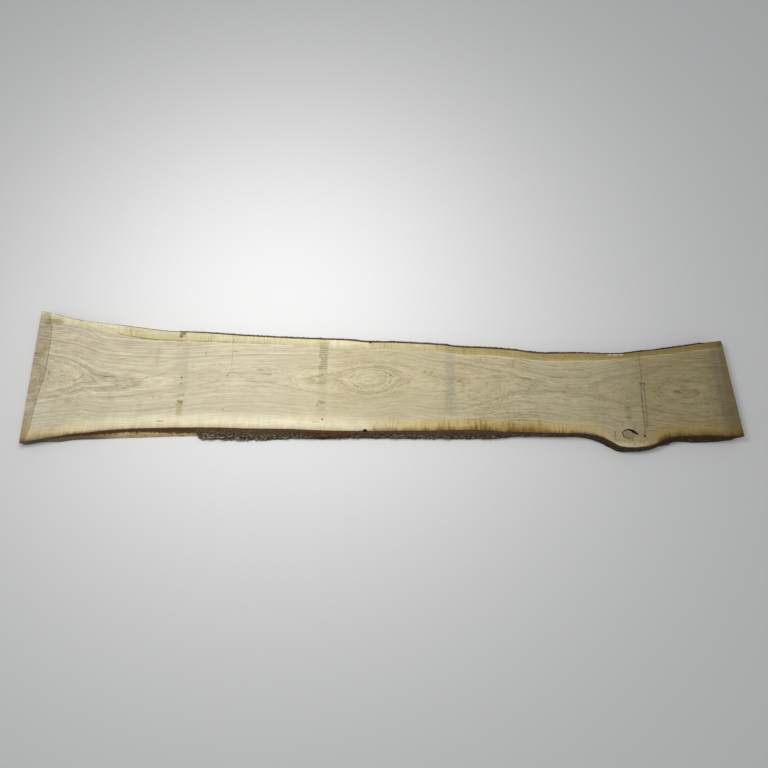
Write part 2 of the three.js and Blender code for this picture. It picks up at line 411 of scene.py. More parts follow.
def hole(x, y, radius, depth):
    """A hole that isn't quite round."""
    turn = np.linspace(0, 2 * np.pi, HOLE_CORNERS, endpoint=False)
    reach = radius * (1 + 0.12 * np.sin(3 * turn + x))
    return prism(np.stack([x + reach * np.cos(turn), y + reach * np.sin(turn)], -1), depth)


def notch(outline, edge, depth):
    """A prism whose outline is given as (x, distance from the edge)."""
    return prism([(x, edge(x) + y) for x, y in outline], depth)


print("faces of the block that cuts a hole:", len(hole(*HOLES[0])[1]))

# %% Cut them out of the board
cuts = [
    groove(KNOT_CRACK, 25, 30, 3, 1.8), groove(END_CHECK, 3, 6, 4), groove(KNOT_CHECK, 4, 8, 5),
    notch(NEAR_NOTCH, near_edge, 28), notch(FAR_NOTCH, far_edge, 20),
]
cuts += [hole(*each) for each in HOLES]
cut_points = []
cut_faces = []
for points, faces in cuts:
    first = sum(len(p) for p in cut_points)
    cut_points.append(points)
    cut_faces += [[first + i for i in face] for face in faces]
cutter = new_object("cutter", new_mesh("cutter", to_metres(np.concatenate(cut_points)), cut_faces))
cut = board.modifiers.new("cut", "BOOLEAN")
cut.object = cutter
cut.operation = "DIFFERENCE"
cut.solver = "MANIFOLD"
evaluated_mesh(board)
bpy.data.objects.remove(cutter)
print("after the cuts:", len(board.data.polygons), "faces,", round(volume_of(board.data), 1), "litres")

# %% [markdown]
# ## Where each point lies in the tree
# Wood is drawn by its growth rings, and rings follow the trunk, not the sawn board. So every point keeps
# where it was in the tree: along the trunk, across it from the pith, and above the pith. The pith ran two
# to three hundred millimetres below this board's top. Where it dips or rises, the rings close into an eye
# or open into a flame. A picture of wood, wrapped round the board, would repeat and not meet at the edges.
# A second attribute keeps the depth below each barked side, for the sapwood.

# %% The pith's course, in millimetres
PITH_LINE = [
    (-2445, 60), (-2100, 50), (-1900, 10), (-1500, 10), (-1000, 45), (-500, 30), (-90, 30), (140, 38),
    (400, 0), (700, -10), (900, 0), (1300, -50), (1700, -40), (1900, -36), (2147, -50), (2445, -46),
]
TOP_ABOVE_PITH = [
    (-2445, 188), (-2340, 200), (-2250, 209), (-2120, 222), (-2060, 231), (-1980, 238), (-1880, 242),
    (-1720, 247), (-1560, 252), (-1400, 256), (-1150, 260), (-900, 260), (-700, 257), (-600, 253),
    (-480, 248), (-320, 242), (-190, 235), (-90, 228), (10, 232), (130, 243), (250, 250), (400, 256),
    (560, 262), (700, 277), (900, 299), (1080, 309), (1230, 312), (1319, 306), (1410, 308), (1530, 302),
    (1700, 291), (1800, 281), (1880, 267), (1950, 256), (2020, 249), (2100, 246), (2170, 250),
    (2240, 256), (2330, 261), (2445, 264),
]
TRUNK_WIDTH = 640
FLARE_FOLLOWED = 0.35

pith_line = curve_through(PITH_LINE)
top_above_pith = curve_through(TOP_ABOVE_PITH)
print("the top lies above the pith, at the two ends:", TOP_ABOVE_PITH[0][1], TOP_ABOVE_PITH[-1][1])


# %% The place in the tree, as attributes
def store(mesh, name, values, domain="POINT"):
    made = mesh.attributes.new(name, "FLOAT_VECTOR", domain)
    made.data.foreach_set("vector", np.ascontiguousarray(values, float).ravel())


def depths_at(points):
    """The depth below the far side and below the near side, at points in millimetres."""
    x, y, z = points.T
    station = station_at(x, y)
    row = 1 - z / THICKNESS
    return far_side(station, row)[..., 1] - y, y - near_side(station, row)[..., 1]


def place_in_tree(points):
    """Along the trunk, across it from the pith, and above the pith. The rings follow the flare in part."""
    x, y, z = points.T
    station = station_at(x, y)
    width = edge_on(station, far_edge) - edge_on(station, near_edge)
    across = (y - pith_line(station)) * (TRUNK_WIDTH / width) ** FLARE_FOLLOWED
    return np.stack([station, across, top_above_pith(station) - THICKNESS + z], -1)


points = values_of(board.data.vertices, "co") / MM - SHIFT
store(board.data, "grain", place_in_tree(points))
depth_far, depth_near = depths_at(points)
store(board.data, "depth", np.stack([depth_far, depth_near, 0 * depth_far], -1))
print("the deepest point lies", round(float(np.minimum(depth_far, depth_near).max())), "mm below the bark")

# %% Sides, ends and cuts, as a third attribute
SIDE_REACH = 1.6
SKIN = 3
STEEP = 0.9
LEVEL = 0.95

centres = values_of(board.data.polygons, "center") / MM - SHIFT
normals = np.abs(values_of(board.data.polygons, "normal"))
outermost = np.minimum(*depths_at(centres)) < SIDE_REACH
on_end = normals[:, 0] > STEEP
on_side = outermost & ~on_end & (normals[:, 2] < STEEP)
below_top = (centres[:, 2] > SKIN) & (centres[:, 2] < THICKNESS - SKIN)
in_cut = ~outermost & ~on_end & ((normals[:, 2] < LEVEL) | below_top)
store(board.data, "surface", np.stack([on_side, on_end, in_cut], -1), "FACE")
print("faces on the waney sides:", on_side.sum(), " on the ends:", on_end.sum(), " in cuts:", in_cut.sum())

# %% [markdown]
# ## Node trees written as formulas
# Nodes can be joined by hand in the editor, but a formula is shorter to read and easier to repeat. So
# shaders and Geometry Nodes share one small notation. A wire is a socket: adding or multiplying wires adds
# Math nodes, and one method adds any other node from its type, its settings and its sockets.

# %% Wires
class Wire:
    """A socket of a node tree. Formulas on wires add their nodes to the tree."""

    def __init__(self, bench, socket):
        self.bench = bench
        self.socket = socket

    def output(self, name):
        return Wire(self.bench, self.socket.node.outputs[name])

    def maths(self, operation, *values):
        return self.bench.add("ShaderNodeMath", {"operation": operation}, dict(enumerate(values)))

    def __add__(self, other):
        return self.maths("ADD", self, other)

    def __sub__(self, other):
        return self.maths("SUBTRACT", self, other)

    def __rsub__(self, other):
        return self.maths("SUBTRACT", other, self)

    def __mul__(self, other):
        return self.maths("MULTIPLY", self, other)

    def __truediv__(self, other):
        return self.maths("DIVIDE", self, other)

    def __pow__(self, other):
        return self.maths("POWER", self, other)

    def __abs__(self):
        return self.maths("ABSOLUTE", self)

    def floor(self):
        return self.maths("FLOOR", self)

    def fraction(self):
        return self.maths("FRACT", self)

    def least(self, other):
        return self.maths("MINIMUM", self, other)

    def most(self, other):
        return self.maths("MAXIMUM", self, other)

    __radd__ = __add__
    __rmul__ = __mul__


print("a wire knows", len([name for name in dir(Wire) if name not in dir(object)]), "ways to join")


# %% The bench that joins them
class Bench:
    """Adds nodes to one tree, of a material or of Geometry Nodes."""

    def __init__(self, tree):
        self.tree = tree

    def add(self, kind, settings=None, sockets=None, output=0):
        made = self.tree.nodes.new(kind)
        for name, value in (settings or {}).items():
            setattr(made, name, value)
        for key, value in (sockets or {}).items():
            if isinstance(value, Wire):
                self.tree.links.new(value.socket, made.inputs[key])
            else:
                made.inputs[key].default_value = value
        return Wire(self, made.outputs[output]) if made.outputs else made

    def vector(self, x, y, z):
        return self.add("ShaderNodeCombineXYZ", sockets={0: x, 1: y, 2: z})

    def split(self, vector):
        first = self.add("ShaderNodeSeparateXYZ", sockets={0: vector})
        return first, first.output("Y"), first.output("Z")

    def soft_noise(self, dimensions, place, detail, roughness):
        """Soft noise from -1 to 1, whose bumps are about one unit wide."""
        settings = {"noise_dimensions": dimensions, "normalize": False}
        sockets = {"Scale": 1.0, "Detail": detail, "Roughness": roughness, **place}
        return self.add("ShaderNodeTexNoise", settings, sockets)

    def noise(self, x, y, z, detail=2.0):
        return self.soft_noise("3D", {"Vector": self.vector(x, y, z)}, detail, 0.5)

    def step(self, value, low, high, start=0.0, end=1.0):
        """A smooth step: start below low, end above high."""
        sockets = {"Value": value, "From Min": low, "From Max": high, "To Min": start, "To Max": end}
        return self.add("ShaderNodeMapRange", {"interpolation_type": "SMOOTHSTEP", "clamp": False}, sockets)

    def between(self, value, low, high, soft):
        """1 between low and high, with soft shoulders outside."""
        return self.step(value, low - soft, low) * self.step(value, high, high + soft, 1.0, 0.0)


print("a bench has", ", ".join(name for name in vars(Bench) if name[0] != "_"))


# %% A bench for materials
class PaintBench(Bench):
    """A bench with the patterns and the colours of a shader."""

    def patches(self, place, sizes, detail=2.0, roughness=0.5, seed=0.0):
        """The noise at a point of a shader, with its bumps' sizes along the three axes."""
        sockets = {"Vector": place, "Location": (0.0, 0.0, seed), "Scale": tuple(1 / size for size in sizes)}
        place = self.add("ShaderNodeMapping", sockets=sockets)
        return self.soft_noise("3D", {"Vector": place}, detail, roughness)

    def wobble(self, value, detail=1.0, roughness=0.5):
        """The same noise along a line."""
        return self.soft_noise("1D", {"W": value}, detail, roughness)

    def chance(self, value):
        """A random value from 0 to 1 for each whole number."""
        return self.add("ShaderNodeTexWhiteNoise", {"noise_dimensions": "1D"}, {"W": value})

    def along_curve(self, value, points):
        """The smooth curve through (x, value) points, read at a wire."""
        xs, values = np.array(points, float).T
        least, most = values.min(), values.max()
        made = self.add("ShaderNodeFloatCurve", sockets={"Value": (value - xs[0]) / (xs[-1] - xs[0])})
        mapping = made.socket.node.mapping
        curve = mapping.curves[0]
        for x, height in zip((xs - xs[0]) / (xs[-1] - xs[0]), (values - least) / (most - least)):
            if x in (0, 1):
                curve.points[0 if x == 0 else -1].location = (x, height)
            else:
                curve.points.new(x, height)
        mapping.update()
        return made * (most - least) + least

    def colour_maths(self, operation, sockets):
        """A colour is kept as a vector all the way, because a change of type costs the shader memory."""
        return self.add("ShaderNodeVectorMath", {"operation": operation}, sockets)

    def mix(self, first, second, share):
        return self.add("ShaderNodeMix", {"data_type": "VECTOR"}, {0: share, 4: first, 5: second}, output=1)

    def brightened(self, colour, factor):
        """A colour made lighter or darker by a factor."""
        return self.colour_maths("SCALE", {0: colour, 3: factor})

    def tinted(self, colour, tint, share=1.0):
        """A colour multiplied by a tint, by the share given."""
        change = self.brightened(tuple(value - 1 for value in tint), share)
        return self.colour_maths("MULTIPLY_ADD", {0: colour, 1: change, 2: colour})

    def product(self, first, second):
        return self.colour_maths("MULTIPLY", {0: first, 1: second})


print("a bench for materials adds", ", ".join(name for name in vars(PaintBench) if name[0] != "_"))

# %% Begin and finish a material
DULL = 0.25


def new_material(name):
    material = bpy.data.materials.new(name)
    material.use_nodes = True
    material.node_tree.nodes.clear()
    return material, PaintBench(material.node_tree)


def finish_material(bench, colour, roughness, height, relief):
    """Joins a colour, a roughness and a fine relief to the shader."""
    sockets = {"Height": height, "Distance": relief, "Strength": 1.0}
    bump = bench.add("ShaderNodeBump", sockets=sockets)
    sockets = {"Base Color": colour, "Roughness": roughness, "Normal": bump, "Specular IOR Level": DULL}
    shader = bench.add("ShaderNodeBsdfPrincipled", sockets=sockets)
    bench.add("ShaderNodeOutputMaterial", sockets={"Surface": shader})


print("specular level of the wood and the bark:", DULL)

# %% [markdown]
# ## The oak
# One formula makes the wood, and it holds on every face, because it works in the tree and not on the
# surface: the sawn faces cut the rings lengthwise, and the ends cut them across. On top of the rings come
# the fibres, the sapwood under the bark, the saw's marks, and the stains the board picked up while it dried.

# %% Where a wood shader reads its place
def survey_place(b):
    """The shaded point in the survey's millimetres, whole and as three numbers."""
    place = {"Vector": b.add("ShaderNodeTexCoord", output="Object")}
    place["Scale"] = (1 / MM, 1 / MM, 1 / MM)
    place["Location"] = (-float(SHIFT[0]), -float(SHIFT[1]), 0.0)
    ground = b.add("ShaderNodeMapping", sockets=place)
    return ground, *b.split(ground)


def attribute(b, name, output="Vector"):
    return b.add("ShaderNodeAttribute", {"attribute_name": name}, output=output)


print("a shader's place is moved back by", SHIFT.round(2), "mm")

# %% [markdown]
# The rings are circles round the pith, so one distance draws them all. Noise makes them wander, ripple and
# fray, and a curve along the board says how much they ripple. The side knot bends the rings round it and
# has rings of its own. Its distance is measured in its own oval: 1 is its bark seam.

# %% Growth rings, in millimetres
RING_WIDTH = 2.3
WANDERING = 5
FRAYING = 1.9
FAINTEST_RING = 0.35
KNOT = {
    "x": 1672, "y": -349, "half_length": 42, "half_width": 30, "ring_radius": 24, "bulge": 58, "reach": 2.2,
}
RIPPLING = [
    (-2460, 1.4), (-2100, 2.0), (-1850, 1.4), (-1500, 1.0), (-1250, 1.0), (-1030, 2.6), (-900, 1.1),
    (-500, 0.9), (-100, 1.0), (300, 1.8), (560, 2.6), (700, 4.4), (950, 4.2), (1100, 1.8), (1300, 2.4),
    (1500, 1.3), (1750, 1.7), (1900, 2.8), (2050, 4.6), (2200, 4.4), (2460, 2.0),
]


def knot_distance(b, ground, x, y):
    """The distance from the knot's middle in its own oval, a little uneven."""
    across_x = (x - KNOT["x"]) / KNOT["half_length"]
    across_y = (y - KNOT["y"]) / KNOT["half_width"]
    return (across_x**2 + across_y**2) ** 0.5 + 0.12 * b.patches(ground, (24, 24, 400), detail=1.0, seed=3)


def growth_rings(b, tree, x, across, above, knot):
    """The age in rings at a point, the dark early wood of each ring, and where the knot is."""
    wander = b.patches(tree, (420, 150, 150))
    ripple = b.patches(tree, (75, 24, 24), detail=1.0)
    strands = b.patches(tree, (260, 8, 8), detail=1.0)
    spread = 0.0 - (knot / KNOT["reach"]) ** 2
    pushed = KNOT["bulge"] * spread.maths("EXPONENT", spread)
    radius = (across**2 + above**2) ** 0.5 + WANDERING * wander - pushed
    radius = radius + ripple * b.along_curve(x, RIPPLING) + FRAYING * strands
    in_knot = b.step(knot, 0.95, 1.05, 1.0, 0.0)
    radius = radius + in_knot * (KNOT["ring_radius"] * knot - radius)
    rings = radius / RING_WIDTH + 0.8 * b.wobble(radius / 9)
    phase = rings.fraction()
    early = b.step(phase, 0.0, 0.1) * b.step(phase, 0.2, 0.8, 1.0, 0.0)
    return rings, early * (FAINTEST_RING + (1 - FAINTEST_RING) * b.chance(rings.floor())), in_knot


print("rings in the width of the trunk:", round(TRUNK_WIDTH / 2 / RING_WIDTH))

# %% [markdown]
# Stains could be painted by hand on an image. Here they are a short list of soft boxes, each with the tint
# that it lays over the wood, because a list stays sharp from close by and one number moves a mark: the
# marks of the sticks between the stacked boards, a few mineral streaks, and damp at the ends. Spots are
# the dark rims of small holes and pin knots, and strokes are single dark lines; the last of them is
# painted shade along the end check's crack.

# %% Stains, spots and strokes, in millimetres
STAINS = [  # x from, x to, y from, y to, softness along and across, tint
    (-1416, -1362, 130, 290, 34, 46, (0.89, 0.90, 0.94)),
    (-1384, -1358, -205, -128, 14, 26, (0.76, 0.75, 0.64)),
    (-1390, -1348, -82, -72, 10, 10, (0.74, 0.72, 0.60)),
    (-1390, -1350, -134, -122, 8, 8, (0.70, 0.68, 0.54)),
    (-1380, -1350, -50, 100, 26, 30, (0.90, 0.90, 0.89)),
    (-1421, -1389, 350, 420, 14, 12, (0.40, 0.36, 0.26)),
    (-425, -369, 262, 305, 6, 6, (0.84, 0.84, 0.74)),
    (-422, -373, 118, 264, 9, 12, (0.83, 0.82, 0.81)),
    (-415, -379, 10, 120, 20, 30, (0.86, 0.85, 0.84)),
    (-414, -386, -220, 0, 28, 40, (0.89, 0.91, 0.89)),
    (476, 494, -90, 205, 44, 50, (0.79, 0.82, 0.89)),
    (470, 500, -225, -110, 40, 40, (0.95, 0.98, 1.04)),
    (2336, 2350, -318, 237, 26, 40, (0.85, 0.87, 0.92)),
    (2338, 2350, -240, -150, 20, 44, (0.86, 0.88, 0.88)),
    (-2460, -2384, -440, -290, 16, 110, (0.87, 0.75, 0.62)),
    (-2325, -2275, -280, -150, 40, 80, (1.04, 1.08, 1.15)),
    (-2385, -2290, 455, 482, 30, 14, (0.68, 0.64, 0.50)),
    (-412, -382, -136, -121, 14, 8, (0.72, 0.68, 0.60)),
    (-840, -760, 100, 109, 34, 7, (0.62, 0.59, 0.54)),
    (-860, -770, 68, 75, 30, 6, (0.78, 0.75, 0.70)),
    (1080, 1265, -58, -48, 44, 6, (0.82, 0.81, 0.78)),
    (1180, 1288, 44, 50, 24, 4, (0.80, 0.79, 0.76)),
    (1682, 1700, -170, -164, 26, 12, (0.72, 0.69, 0.61)),
    (1688, 1694, -246, -228, 18, 24, (0.72, 0.70, 0.63)),
    (1686, 1696, -290, -160, 22, 30, (0.90, 0.89, 0.84)),
    (1790, 1822, -330, -10, 12, 20, (0.90, 0.89, 0.88)),
    (-2150, -2072, 52, 150, 30, 34, (1.04, 1.0, 0.95)),
    (-286, -210, 18, 44, 36, 20, (1.08, 1.04, 1.03)),
    (1797, 1829, 0, 10, 5, 4, (0.36, 0.32, 0.27)),
    (1836, 1890, 50, 210, 16, 30, (1.0, 1.03, 1.07)),
    (-1026, -1000, 240, 244, 4, 2, (0.60, 0.56, 0.50)),
    (-1508, -1470, -264, -260, 6, 2, (0.50, 0.46, 0.40)),
    (-455, -414, -271, -267, 6, 2, (0.56, 0.52, 0.44)),
    (-1650, -1636, -215, -125, 16, 24, (0.90, 0.87, 0.92)),
    (-1568, -1552, 160, 290, 8, 34, (0.91, 0.91, 0.90)),
    (1409, 1443, -131, -126, 8, 4, (0.90, 0.76, 0.70)),
    (1085, 1145, 10, 200, 22, 40, (0.95, 0.98, 1.02)),
    (1840, 1872, 120, 190, 12, 24, (1.08, 0.98, 0.95)),
    (700, 710, 165, 205, 6, 14, (0.86, 0.82, 0.78)),
    (925, 937, 130, 175, 7, 14, (0.84, 0.80, 0.78)),
]
SPOTS = [  # x, y, radius, darkness
    (-1377, 47, 8, 0.85), (-1377, 5, 6, 0.7), (-1560, -99, 6, 0.6), (-1227, 226, 10, 0.4),
    (-1073, -180, 11, 0.4), (-430, -152, 11, 0.55), (-392, -249, 9, 0.85), (1777, -364, 14, 0.7),
    (310, 92, 16, 0.28), (358, 84, 16, 0.24), (1693, -391, 7, 0.6), (1703, -418, 7, 0.6),
    (745, 0, 7, 0.35), (-1291, 60, 12, 0.18), (1640, -398, 6, 0.4), (1668, -412, 5, 0.4),
]
END_CHECK_UPWARDS = sorted((y, x) for x, y in END_CHECK)
STROKES = [  # runs along x or along y, half width, how much darker, points
    ("x", 4, 0.34, [(-2131, 26), (-2095, 38), (-2068, 63), (-2052, 105)]),
    ("x", 3, 0.22, [(-2127, -3), (-2060, 9), (-1985, 13), (-1943, 38), (-1893, 55), (-1843, 59)]),
    ("x", 3, 0.22, [(-1727, 13), (-1660, 22), (-1627, 47), (-1560, 59), (-1493, 80)]),
    ("x", 5, -0.09, [(-2127, -45), (-1993, -20), (-1877, -3), (-1793, 5)]),
    ("x", 2, 0.16, [(-1045, 104), (-1010, 84), (-960, 66)]),
    ("y", 2, 0.22, [(40, -1045), (62, -1062), (84, -1042)]),
    ("y", 1.6, 0.24, [(130, -1038), (230, -1039), (330, -1036)]),
    ("y", 2.6, 0.42, [(-350, 1778), (-337, 1782), (-128, 1792), (-3, 1801)]),
    ("y", 2.4, 0.30, [(-3, 1801), (80, 1813), (222, 1817)]),
    ("y", 2.6, 0.32, [(-310, 1798), (-220, 1809), (-110, 1816), (-3, 1822)]),
    ("y", 2.4, 0.45, [(-395, 1584), (-365, 1577), (-337, 1581)]),
    ("y", 2.4, 0.6, [(-378, 1652), (-350, 1630), (-326, 1646)]),
    ("x", 2.0, 0.45, [(1652, -378), (1676, -384), (1700, -372)]),
    # Painted shade: a dark line laid along the end check's crack.
    ("y", 2.0, 0.34, END_CHECK_UPWARDS),
]
LADDER = {"x": (-422, -373), "y": (120, 250), "pitch": 17, "tint": (0.74, 0.73, 0.70)}  # a ridged stick
print("stains:", len(STAINS), " spots:", len(SPOTS), " strokes:", len(STROKES))


# %% Lay them over the wood
def stain(b, ground, x, y):
    """The tint that all the stains, spots and strokes lay over the wood."""
    patchy = b.patches(ground, (26, 26, 60))
    striped = b.patches(ground, (80, 7, 60), detail=1.0, seed=5)
    share = (0.95 + 0.4 * patchy + 1.5 * striped).most(0.1)
    there_x = x + 7 * patchy + 9 * striped
    there_y = y + 7 * patchy
    laid = (1, 1, 1)
    for x_from, x_to, y_from, y_to, soft_x, soft_y, tint in STAINS:
        mask = b.between(there_x, x_from, x_to, soft_x) * b.between(there_y, y_from, y_to, soft_y)
        laid = b.tinted(laid, tint, (mask * share).least(1.0))
    rung = b.step(abs((y / LADDER["pitch"] + 0.3 * patchy).fraction() - 0.5), 0.0, 0.45, 1.0, 0.0)
    ladder = b.between(there_x, *LADDER["x"], 6) * b.between(y, *LADDER["y"], 50)
    laid = b.tinted(laid, LADDER["tint"], rung * ladder * (1 + patchy))
    broken = b.step(b.patches(ground, (13, 11, 60), seed=9), -0.6, 0.6, 0.45, 1.35)
    dark = 0.0
    for spot_x, spot_y, radius, darkness in SPOTS:
        away = ((x - spot_x) ** 2 + (y - spot_y) ** 2) ** 0.5
        dark = b.step(away, 0.25 * radius, radius, darkness, 0.0) + dark
    for runs, half_width, darkness, points in STROKES:
        here, beside = (x, y) if runs == "x" else (y, x)
        off = abs(beside - b.along_curve(here, points)) + 0.8 * patchy
        inside = b.between(here, points[0][0], points[-1][0], 12) * broken
        dark = b.step(off, half_width, 2.4 * half_width, darkness, 0.0) * inside + dark
    return b.brightened(laid, 1 - dark)


print("layers of stain:", len(STAINS) + 1)

# %% [markdown]
# Sapwood is the young wood under the bark, cream at the root end and golden further up. Its depth below
# each barked side comes from the stored attribute, so the bands follow the edges by themselves and also
# show on the ends. At the far side it ends in a sharp seam. At the near side it glows softly into the
# heart and browns towards the bark. Short tables along the board say how wide and how strong each band is.

# %% The far band along the board
FAR_SAP = [  # its width, in millimetres
    (-2460, 50), (-2230, 34), (-1980, 56), (-1885, 60), (-1830, 76), (-1670, 80), (-1490, 74),
    (-1258, 68), (-1032, 60), (-710, 52), (-511, 52), (-362, 62), (-100, 50), (68, 50), (490, 52),
    (771, 52), (872, 55), (1042, 54), (1287, 54), (1469, 53), (1601, 42), (1824, 36), (2036, 42),
    (2460, 46),
]
FAR_CREAM = [
    (-2460, 1), (-1900, 1), (-1810, 0.3), (-1650, 0), (-1250, 0), (-1020, 0.3), (-440, 0.3),
    (-350, 0), (-100, 0.2), (300, 0.4), (480, 0.2), (620, 0), (2460, 0),
]
FAR_GOLD = [
    (-2460, 0), (150, 0), (320, 0.06), (440, 0.4), (540, 0.75), (1050, 0.84), (1300, 1), (1600, 0.9),
    (2460, 0.78),
]
FAR_BLEACHED = [
    (-2460, 0), (-370, 0), (-356, 1), (-280, 1), (-215, 0.6), (-110, 0.5), (-30, 0.1), (80, 0), (2460, 0),
]
FAR_DARK_SEAM = [
    (-2460, 0), (-1900, 0.1), (-1830, 1), (-1500, 1), (-1100, 0.8), (-700, 0.35), (-420, 0.1), (2460, 0),
]
FAR_PALE_SEAM = [
    (-2460, 0), (-1850, 0.4), (-1100, 0.5), (-600, 0.2), (-300, 0), (300, 0.1), (560, 1), (2460, 1),
]
FAR_GLOW = [(-2460, 0.5), (-400, 0.1), (300, 0.1), (560, 1), (2460, 1)]
FAR_TICKED = [
    (-2460, 0.5), (-1950, 0.8), (-1840, 1.5), (-1100, 1.4), (-700, 0.9), (-400, 0.8), (-340, 0.3),
    (-120, 0.7), (100, 1.2), (600, 1.2), (1400, 0.7), (2460, 0.8),
]
FAR_FINISHES = {  # tint at the bark, tint at the seam
    "straw": ((1.06, 1.08, 0.99), (0.99, 1.0, 0.82)),
    "cream": ((1.24, 1.31, 1.29), (1.12, 1.13, 1.03)),
    "gold": ((0.77, 0.67, 0.46), (0.88, 0.81, 0.51)),
    "bleached": ((1.40, 1.42, 1.58), (1.12, 1.16, 1.20)),
}
BEYOND_THE_SEAM = (1.10, 1.12, 1.13)
PALE_SEAM = (1.16, 1.15, 1.07)
DARK_SEAM = (0.72, 0.71, 0.58)
print("finishes of the far band:", ", ".join(FAR_FINISHES))


# %% The far sapwood
def far_sapwood(b, ground, heart, x, depth):
    """The heart's colour with the far band laid over it, and where the band is."""
    uneven = b.patches(ground, (55, 70, 200))
    width = b.along_curve(x, FAR_SAP) + 2.5 * uneven
    inwards = b.step(depth, 12.0, width)
    bands = {}
    for name, (outer, inner) in FAR_FINISHES.items():
        bands[name] = b.mix(b.tinted(heart, outer), b.tinted(heart, inner), inwards)
    sap = b.mix(bands["straw"], bands["cream"], b.along_curve(x, FAR_CREAM))
    sap = b.mix(sap, bands["gold"], b.along_curve(x, FAR_GOLD))
    sap = b.mix(sap, bands["bleached"], b.along_curve(x, FAR_BLEACHED))
    inside = b.step(depth, width - 3, width + 2, 1.0, 0.0)
    beyond = depth - width
    glow = b.step(beyond, 4, 75, 1.0, 0.0) * b.along_curve(x, FAR_GLOW)
    colour = b.tinted(heart, BEYOND_THE_SEAM, glow)
    colour = b.mix(colour, sap, inside)
    pale_seam = b.between(beyond, 0.0, 7.0, 4.0) * b.along_curve(x, FAR_PALE_SEAM)
    dark_seam = b.between(beyond, -10.0, -4.0, 4.0) * b.along_curve(x, FAR_DARK_SEAM) * (1 + uneven)
    colour = b.tinted(colour, PALE_SEAM, pale_seam)
    return b.tinted(colour, DARK_SEAM, dark_seam), inside


print("the far band is", min(v for x, v in FAR_SAP), "to", max(v for x, v in FAR_SAP), "mm wide")

# %% The near band along the board
NEAR_GLOW = [
    (-2460, 0), (-2200, 0.1), (-2080, 0.45), (-1800, 0.7), (-1300, 0.85), (-900, 1), (-500, 1), (-250, 0.95),
    (0, 0.6), (330, 0.35), (600, 0.2), (800, 0), (1000, 0), (1200, 0.15), (1400, 0.1), (1600, 0), (2460, 0),
]
NEAR_GOLD = [
    (-2460, 0.5), (-2100, 0.5), (-1900, 0.15), (-1400, 0.12), (-1000, 0.05), (-600, 0), (-200, 0), (0, 0.3),
    (300, 0.7), (600, 0.85), (900, 1), (1300, 0.65), (1500, 0.45), (1600, 0.2), (1700, 0.2), (1830, 0.7),
    (2000, 0.9), (2460, 0.8),
]
NEAR_BROWNING = [  # how deep the brown reaches, in millimetres
    (-2460, 12), (-2370, 38), (-2280, 44), (-2080, 24), (-1900, 18), (-1650, 8), (-950, 7), (-600, 6),
    (-200, 8), (0, 34), (330, 42), (600, 54), (800, 76), (1000, 78), (1150, 44), (1400, 24), (1520, 12),
    (1600, 6), (1700, 6), (1780, 10), (1860, 24), (1940, 44), (2100, 42), (2460, 52),
]
NEAR_TICKED = [
    (-2460, 0.4), (-1400, 0.5), (-300, 0.7), (0, 1.1), (150, 1.4), (600, 1.4), (900, 1.3), (1300, 1.3),
    (1550, 0.6), (1800, 0.9), (2460, 1.0),
]
SAP_GLOW = (1.32, 1.37, 1.43)
SAP_GOLD = (1.09, 0.94, 0.57)
SAP_BROWN = (0.36, 0.27, 0.15)
KNOT_CREAM = (1.36, 1.42, 1.48)
CREAM_BY_KNOT = (1590, 1775, 44)  # from, to and how softly
print("the brown reaches up to", max(v for x, v in NEAR_BROWNING), "mm into the near band")


# %% The near sapwood
def near_sapwood(b, ground, colour, x, depth):
    """A colour with the near band laid over it, and where the band is."""
    uneven = b.patches(ground, (45, 70, 200), seed=2)
    ticked = b.patches(ground, (14, 120, 200), detail=3.0, seed=4)
    deep = depth + 12 * uneven + 3 * ticked
    inside = b.step(deep, 40, 100, 1.0, 0.0)
    glow = b.step(deep, 6, 40) * b.step(deep, 52, 125, 1.0, 0.0) * b.along_curve(x, NEAR_GLOW)
    colour = b.tinted(colour, SAP_GLOW, glow)
    colour = b.tinted(colour, SAP_GOLD, inside * b.along_curve(x, NEAR_GOLD))
    colour = b.tinted(colour, KNOT_CREAM, b.between(x, *CREAM_BY_KNOT) * b.step(deep, 14, 46, 1.0, 0.0))
    browned = 1 - depth / b.along_curve(x, NEAR_BROWNING) - 0.3 * uneven - 0.17 * ticked
    return b.tinted(colour, SAP_BROWN, (browned.most(0.0) ** 1.4).least(1.0)), inside


print("the cream by the knot is", CREAM_BY_KNOT[1] - CREAM_BY_KNOT[0], "mm long")

# %% [markdown]
# The waney sides show the surface that was under the bark. Where the bark is gone, the outer wood is a
# pale straw strip below a ragged band of red-brown inner bark, and it is grey and weathered at the root.
# They could have a material of their own, but as layers of the same one they meet the top without a gap.

# %% The wood of the sides and of the ends
INNER_BARK = (0.100, 0.048, 0.014)
WEATHERED = (0.168, 0.126, 0.068)
PAINTED_ROOT_SHADE = (0.036, 0.024, 0.012)
STRAW_STRIP = (0.345, 0.255, 0.130)
END_WOOD = (0.62, 0.50, 0.36)
PAINTED_ROOT_SHADE_STRETCH = (-2350, -2290, 60)  # from, to and how softly
WEATHERED_ENDS = (-1990, -1740)
INNER_BARK_BAND = [  # how high it starts above the floor, in millimetres
    (-2460, 74), (-2340, 60), (-2210, 45), (-1950, 40), (-1740, 39), (-1560, 39), (-1420, 35),
    (-1250, 32), (2460, 34),
]


